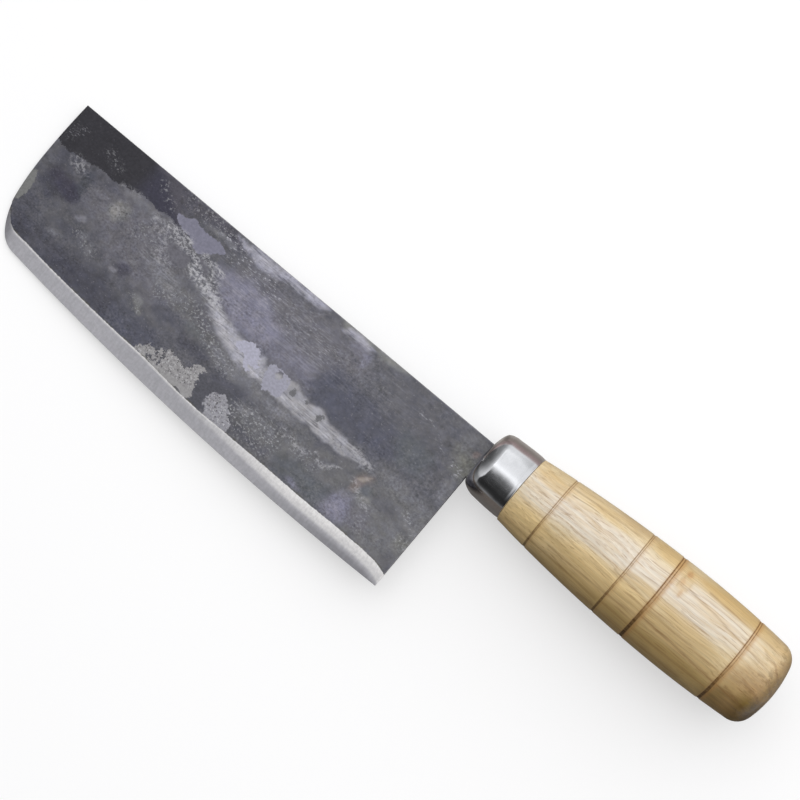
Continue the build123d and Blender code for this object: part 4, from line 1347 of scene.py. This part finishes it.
woodLines = [
    (0.50, 0.34, [(38, -9), (50, -9.4), (62, -9.2), (75, -8.6)]),
    (0.70, 0.42, [(77, -7.5), (92, -8.2), (105, -9.2), (118, -9.6)]),
    (0.50, 0.36, [(20, -11), (45, -12), (62, -12.8)]), (0.45, 0.34, [(64, -12.4), (90, -12.8), (108, -12.4)]),
    (0.60, 0.32, [(60, -1), (68, -1.8), (76, -2.5)]), (0.35, 0.30, [(33, 7.6), (45, 7.2), (60, 6.5)]),
    (0.55, 0.34, [(84, 9.6), (96, 8.4), (108, 6.8), (121, 5)]), (0.40, 0.30, [(34, -2.6), (48, -3.6),
                                                                              (62, -4.2)]),
    (0.35, 0.30, [(86, 2.4), (97, 1.6), (109, 0.6)]), (0.40, 0.30, [(78, -4.4), (92, -4.8), (108, -5.6)]),
    (0.55, 0.40, [(116, 9.6), (121, 8.2), (125, 4.6)]), (0.55, 0.40, [(118, 3.4), (123, 2), (127, -1.5)]),
    (0.55, 0.40, [(116, -2.4), (122, -4), (126.6, -6)]), (0.60, 0.44, [(113, -8), (120, -9.4), (125.4, -11)]),
    (0.50, 0.40, [(56, -15.2), (75, -15.8), (100, -15.6)]), (0.45, 0.34, [(22, 4), (30, 3.4), (37, 3.6)]),
    (0.40, 0.34, [(90, 13.2), (104, 12.6), (118, 12)]), (0.40, 0.34, [(30, 11.6), (46, 12.6), (60, 13.2)]),
    (0.25, 0.30, [(79.4, 8), (79.6, 11), (81, 15)]), (0.2, 0.30, [(83, 8), (83.4, 12)]),
    (0.35, 0.30, [(20, -2), (26, -2.6), (31, -2.4)]), (0.45, 0.32, [(40, 0.8), (52, 0.2), (60, 0.6)]),
]


def woodMaterial():
    material, tree, shader = newMaterial("pale lacquered wood")
    place = readField(tree, "place", "Vector")
    drift = stretchNoise(tree, place, (0.012, 0.05, 0.05), 3, 0.5)
    wander = stretchNoise(tree, place, (0.03, 0.03, 0.03), 2, 0.5, (1, 5, 2))
    split = tree.nodes.new("ShaderNodeSeparateXYZ")
    setInput(tree, split.inputs[0], place)
    across = timesPlus(tree, wander, 5.0, split.outputs["Y"])
    bent = tree.nodes.new("ShaderNodeCombineXYZ")
    for key, value in (("X", split.outputs["X"]), ("Y", across), ("Z", split.outputs["Z"])):
        setInput(tree, bent.inputs[key], value)
    bent = bent.outputs[0]
    rings = timesPlus(tree, drift, 7.0, timesPlus(tree, split.outputs["Z"], 0.35, across))
    ringShare = calc(tree, "FRACT", times(tree, rings, 0.55))
    lateWood = times(tree, spread(tree, ringShare, 0.2, 0.9), spread(tree, ringShare, 1.0, 0.9))
    fibres = stretchNoise(tree, bent, (0.035, 1.5, 1.5), 5, 0.66)
    fine = stretchNoise(tree, bent, (0.14, 2.6, 2.6), 3, 0.6)
    veins = stretchNoise(tree, bent, (0.018, 2.3, 2.3), 3, 0.6, (3, 8, 6))
    pores = stretchNoise(tree, bent, (0.15, 2.5, 2.5), 2, 0.5, (3, 7, 5))
    cloud = stretchNoise(tree, place, (0.04, 0.16, 0.16), 4, 0.6, (8, 2, 5))

    paint = shadePaint(tree, readField(tree, "tone", "Color"), spread(tree, fibres, 0.28, 0.72, 0.84, 1.08))
    paint = mixPaint(tree, times(tree, lateWood, 0.22), paint, linear(woodPaints["lateWood"]))
    paint = mixPaint(tree, spread(tree, cloud, 0.45, 0.75, 0.0, 0.5), paint, linear(woodPaints["tan"]))
    veinMask = times(tree, spread(tree, veins, 0.56, 0.68), 0.5)
    paint = mixPaint(tree, veinMask, paint, linear(woodPaints["vein"]))
    poreMask = spread(tree, pores, 0.60, 0.70)
    paint = mixPaint(tree, times(tree, poreMask, 0.34), paint, linear(woodPaints["pore"]))
    lineMask = times(tree, readField(tree, "lines"), spread(tree, fine, 0.36, 0.58, 0.35, 1.0))
    paint = mixPaint(tree, lineMask, paint, linear(woodPaints["line"]))
    knots = stretchNoise(tree, place, (0.35, 0.5, 0.5), 5, 0.65, (2, 7, 1))
    butt = spread(tree, split.outputs["X"], 112.0, 124.0)
    speckle = times(tree, spread(tree, knots, 0.50, 0.66, 0.0, 0.5), butt)
    paint = mixPaint(tree, speckle, paint, linear(woodPaints["umber"]))
    # Painted shade of the butt, multiplied over the wood
    paint = mixPaint(tree, 1.0, paint, readField(tree, "paintedButtShade", "Color"), "MULTIPLY")
    stainMask = times(tree, readField(tree, "stain"), spread(tree, fibres, 0.3, 0.7, 0.6, 1.0))
    paint = mixPaint(tree, stainMask, paint, linear(woodPaints["stain"]))
    burnMask = times(tree, readField(tree, "burn"), spread(tree, fibres, 0.3, 0.7, 0.65, 1.0))
    # The burn turns darker low on the handle: painted shade over the real burn
    shadedLowSide = spread(tree, split.outputs["Y"], -3.0, -14.0)
    burnt = mixPaint(tree, shadedLowSide, linear(woodPaints["burnt"]), linear(woodPaints["shadedBurn"]))
    paint = mixPaint(tree, burnMask, paint, burnt)
    setInput(tree, shader.inputs["Base Color"], paint)
    roughness = plus(tree, spread(tree, fibres, 0.3, 0.7, 0.38, 0.52), times(tree, burnMask, 0.2))
    setInput(tree, shader.inputs["Roughness"], roughness)
    setInput(tree, shader.inputs["Coat Weight"], timesPlus(tree, burnMask, -0.3, 0.3))
    shader.inputs["Coat Roughness"].default_value = 0.28
    height = timesPlus(tree, fine, 0.5, times(tree, fibres, 1.0))
    height = minus(tree, height, times(tree, veinMask, 0.8))
    height = minus(tree, height, times(tree, poreMask, 0.5))
    setInput(tree, shader.inputs["Normal"], addBump(tree, height, 0.00014, 0.55))
    return material


# The resin takes its shape from its solid and leans with the cap that it fills
def makeResin():
    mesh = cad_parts["tang_resin"].data.copy()
    mesh.name = "setResin"
    mesh.materials.clear()
    piece = bpy.data.objects.new("setResin", mesh)
    scene.collection.objects.link(piece)
    knife = skewFront(knifePoints(mesh), False)
    mesh.vertices.foreach_set("co", toTable(knife).ravel())
    mesh.update()
    return piece


resinPaints = {"dark": (74, 58, 44), "light": (104, 84, 62)}


def resinMaterial():
    material, tree, shader = newMaterial("set resin")
    coordinates = tree.nodes.new("ShaderNodeTexCoord").outputs["Object"]
    cloud = addNoise(tree, coordinates, 350, 4, 0.6)
    bubbles = addCells(tree, coordinates, 900)
    paint = mixPaint(tree, spread(tree, cloud, 0.35, 0.65),
                     linear(resinPaints["dark"]), linear(resinPaints["light"]))
    setInput(tree, shader.inputs["Base Color"], paint)
    setInput(tree, shader.inputs["Roughness"], spread(tree, cloud, 0.3, 0.7, 0.35, 0.6))
    setInput(tree, shader.inputs["Normal"], addBump(tree, bubbles, 0.0001, 0.4))
    return material


blade = makeBlade()
blade.data.materials.append(bladeMaterial())
print("blade made,", len(blade.data.vertices), "points")
ferrule = makeFerrule()
ferrule.data.materials.clear()
ferrule.data.materials.append(ferruleMaterial())
print("ferrule made,", len(ferrule.data.vertices), "points")
handle = makeHandle()
handle.data.materials.append(woodMaterial())
print("handle made,", len(handle.data.vertices), "points")
resin = makeResin()
resin.data.materials.append(resinMaterial())
print("resin set,", len(resin.data.vertices), "points")

for piece, node, finish in (
    (blade, "blade", "forged_steel"), (ferrule, "ferrule", "polished_steel"), (handle, "handle", "pale_wood"),
    (resin, "tang_resin", "set_resin"),
):
    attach(piece, "root")
    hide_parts(node)

# The table, the lamps and the cards that the polished ferrule mirrors. A card's shade is written as it looks
# on a screen: round the ferrule towards the edge, then towards the blade, by degrees from straight up.
studio = {
    "floorSize": 6.0,
    "floorPaint": (250, 250, 250),
    "floorGlow": 0.5,
    "underPaint": (114, 102, 80),
    "skyPaint": (0.98, 0.98, 1.0),
    "dimSky": (0.22, 0.215, 0.21),
    "windowPower": 6.6,
    "windowSize": (1.3, 1.5),
    "windowPlace": (0.04, 0.55, 0.754),
    "cardReach": 0.5,
    "besideShades": [(-92, 205), (-84, 214), (-76, 227), (-68, 244), (-60, 248), (-52, 244), (-30, 242),
                     (-21, 248), (-14, 257), (-7, 274), (-3, 274), (1, 254), (4.5, 224), (8, 184),
                     (15, 138), (22, 102), (30, 88), (37, 66), (45, 54), (52, 56), (60, 42), (68, 40),
                     (77, 50), (83, 88), (87, 134), (92, 120)],
    "besideBorder": [(-92, 0.0), (-80, -0.03), (-70, -0.07), (-60, -0.12), (-45, -0.14), (-8, -0.155),
                     (-1, -0.15), (6, -0.10), (20, -0.11), (30, -0.13), (40, -0.14), (50, -0.18),
                     (66, -0.25), (85, -0.20), (92, -0.20)],
    "awayShades": [(-6.0, 86), (-3.0, 84), (-1.6, 74), (-1.15, 78), (-0.62, 104), (-0.36, 144),
                   (-0.2, 194), (-0.1, 232)],
    "awayLeast": 124,
    "rearGlow": 232,  # light from above that the rear of the ferrule mirrors
    "rimShade": 1.14,
    "cardTint": (0.985, 1.0, 1.01),
    "tableShades": [(-1.5, (104, 100, 94)), (-0.45, (102, 97, 89)), (-0.1, (100, 92, 86)),
                    (-0.03, (99, 93, 88)), (0.006, (98, 95, 92)), (0.036, (172, 166, 160)),
                    (0.06, (136, 127, 121)), (0.10, (152, 134, 132)), (0.35, (196, 186, 184)),
                    (1.5, (210, 205, 204))],
    "tableCardLift": 0.0004,
    "tableColumns": [(-5.9, 0.3), (-0.6, 0.45), (-0.2, 1.0), (0.2, 1.0)],
    "cameraPlace": (0.061197, 0.004826, 0.639001),
    "cameraTarget": (-0.001519, 0.017481, 0.011166),
    "cameraRoll": 39.6,
    "cameraLens": 80.1,
}


def seenRay(tree):
    path = tree.nodes.new("ShaderNodeLightPath")
    seen = calc(tree, "MAXIMUM", path.outputs["Is Camera Ray"], path.outputs["Is Glossy Ray"])
    return calc(tree, "MAXIMUM", seen, path.outputs["Is Transmission Ray"])


def makeFloor():
    size = studio["floorSize"]
    corners = [(-size, -size, 0), (size, -size, 0), (size, size, 0), (-size, size, 0)]
    floor = newObject("tableTop", corners, [(0, 1, 2, 3)])
    material, tree, shader = newMaterial("pale table")
    seen = seenRay(tree)
    paint = mixPaint(tree, seen, linear(studio["underPaint"]), linear(studio["floorPaint"]))
    setInput(tree, shader.inputs["Base Color"], paint)
    shader.inputs["Roughness"].default_value = 0.9
    shader.inputs["Specular IOR Level"].default_value = 0.1
    paper = tree.nodes.new("ShaderNodeEmission")
    blend = tree.nodes.new("ShaderNodeMixShader")
    setInput(tree, blend.inputs[0], times(tree, seen, studio["floorGlow"]))
    tree.links.new(shader.outputs["BSDF"], blend.inputs[1])
    tree.links.new(paper.outputs[0], blend.inputs[2])
    tree.links.new(blend.outputs[0], tree.nodes["Material Output"].inputs["Surface"])
    floor.data.materials.append(material)


# A card that only reflections see; its shades are written as they look on a screen
def makeCard(name, points, faces, shades):
    card = newObject(name, points, faces)
    addField(card, "shade", np.array(shades))
    material, tree, glow = newMaterial(name, "ShaderNodeEmission")
    setInput(tree, glow.inputs["Color"], readField(tree, "shade", "Color"))
    card.data.materials.append(material)
    card.visible_camera = card.visible_diffuse = card.visible_shadow = False
    card.visible_transmission = False


# Shade of the round card: a bright window and the dark room beside it, and greyer beyond its slanting border
def cardShade(angle, place):
    lift = (5 * ease(-0.035, -0.02, place) * ease(-4, 4, angle)
            + 12 * ease(-0.045, -0.012, place) * ease(-6, -20, angle))
    beside = np.interp(angle - lift, *zip(*studio["besideShades"]))
    beside = linear(beside) * (1 - 0.12 * ease(-0.030, -0.012, place)
                               * ease(0.06, 0.03, place) * ease(8, -8, angle))
    beside += (linear(studio["rearGlow"]) - beside) * (ease(0.07, 0.12, place) * ease(76, 14, angle) ** 2)
    nearer = place * (1 - 0.45 * ease(5, 55, angle))
    away = linear(np.interp(nearer, *zip(*studio["awayShades"]))) * (1 - 0.6 * ease(56, 74, angle))
    away = np.maximum(away, linear(studio["awayLeast"]) * ease(-36, -54, angle) * ease(-0.95, -0.7, place))
    border = np.interp(angle, *zip(*studio["besideBorder"]))
    beside *= 1 - 0.4 * ease(0.05, 0.01, place - border) * ease(10, 20, angle) * ease(70, 56, angle)
    rim = 1 + (studio["rimShade"] - 1) * ease(0.05, 0.0, np.abs(place - border - 0.02)) * ease(24, 4, angle)
    inside = ease(border - 0.012, border + 0.012, place)
    return (away + (beside - away) * inside) * rim


def gridFaces(rows, wide):
    return [(j * wide + i, j * wide + i + 1, (j + 1) * wide + i + 1, (j + 1) * wide + i)
            for j in range(rows - 1) for i in range(wide - 1)]


def makeCards():
    angles = np.arange(-92, 93, 2.0)
    places = np.concatenate((-np.geomspace(6.0, 0.36, 22), np.arange(-0.34, 0.06, 0.01), (0.1, 0.5)))
    angle, place = [field.ravel() for field in np.meshgrid(angles, places, indexing="ij")]
    low, high = [studio["cardReach"] * turn(np.radians(angle)) for turn in (np.sin, np.cos)]
    points = np.stack((place, knifeOrigin[1] - low, knifeOrigin[2] + high), -1)
    shades = cardShade(angle, place)[:, None] * studio["cardTint"]
    makeCard("roundCard", points.tolist(), gridFaces(len(angles), len(places)), shades)
    rows, columns = studio["tableShades"], studio["tableColumns"]
    points = [(x, y, studio["tableCardLift"]) for y, _ in rows for x, _ in columns]
    shades = [linear(paint) * share for _, paint in rows for _, share in columns]
    makeCard("tableCard", points, gridFaces(len(rows), len(columns)), shades)


def makeWorld():
    world = bpy.data.worlds.new("studio")
    scene.world = world
    world.use_nodes = True
    tree = world.node_tree
    tree.nodes.clear()
    output = tree.nodes.new("ShaderNodeOutputWorld")
    background = tree.nodes.new("ShaderNodeBackground")
    tree.links.new(background.outputs[0], output.inputs["Surface"])
    direction = tree.nodes.new("ShaderNodeTexCoord").outputs["Generated"]
    split = tree.nodes.new("ShaderNodeSeparateXYZ")
    setInput(tree, split.inputs[0], direction)
    side = spread(tree, split.outputs["Y"], -0.5, 0.1)
    paint = mixPaint(tree, side, studio["dimSky"], studio["skyPaint"])
    paint = mixPaint(tree, seenRay(tree), paint, (1.0, 1.0, 1.0))
    setInput(tree, background.inputs["Color"], paint)


def makeLamps():
    window = bpy.data.lights.new("windowLamp", "AREA")
    window.shape = "RECTANGLE"
    window.size, window.size_y = studio["windowSize"]
    window.energy = studio["windowPower"]
    lamp = bpy.data.objects.new("windowLamp", window)
    scene.collection.objects.link(lamp)
    place = Vector(studio["windowPlace"])
    lamp.location = place
    lamp.visible_glossy = False
    lamp.rotation_euler = (Vector((0.03, 0.02, 0.01)) - place).to_track_quat("-Z", "Y").to_euler()


def makeCamera():
    camera = bpy.data.objects.new("camera", bpy.data.cameras.new("camera"))
    scene.collection.objects.link(camera)
    camera.data.lens = studio["cameraLens"]
    camera.data.sensor_width = 36.0
    camera.data.clip_start = 0.01
    place, target = Vector(studio["cameraPlace"]), Vector(studio["cameraTarget"])
    forward = (target - place).normalized()
    roll = radians(studio["cameraRoll"])
    right = Vector(knifeTurn @ np.array((cos(roll), sin(roll), 0)))
    right = (right - forward * right.dot(forward)).normalized()
    up = right.cross(forward)
    camera.matrix_world = Matrix((
        (right.x, up.x, -forward.x, place.x), (right.y, up.y, -forward.y, place.y),
        (right.z, up.z, -forward.z, place.z), (0, 0, 0, 1),
    ))
    scene.camera = camera


makeFloor()
makeCards()
makeWorld()
makeLamps()
makeCamera()
scene.view_settings.view_transform = "Standard"
print("table, lamps and camera placed")
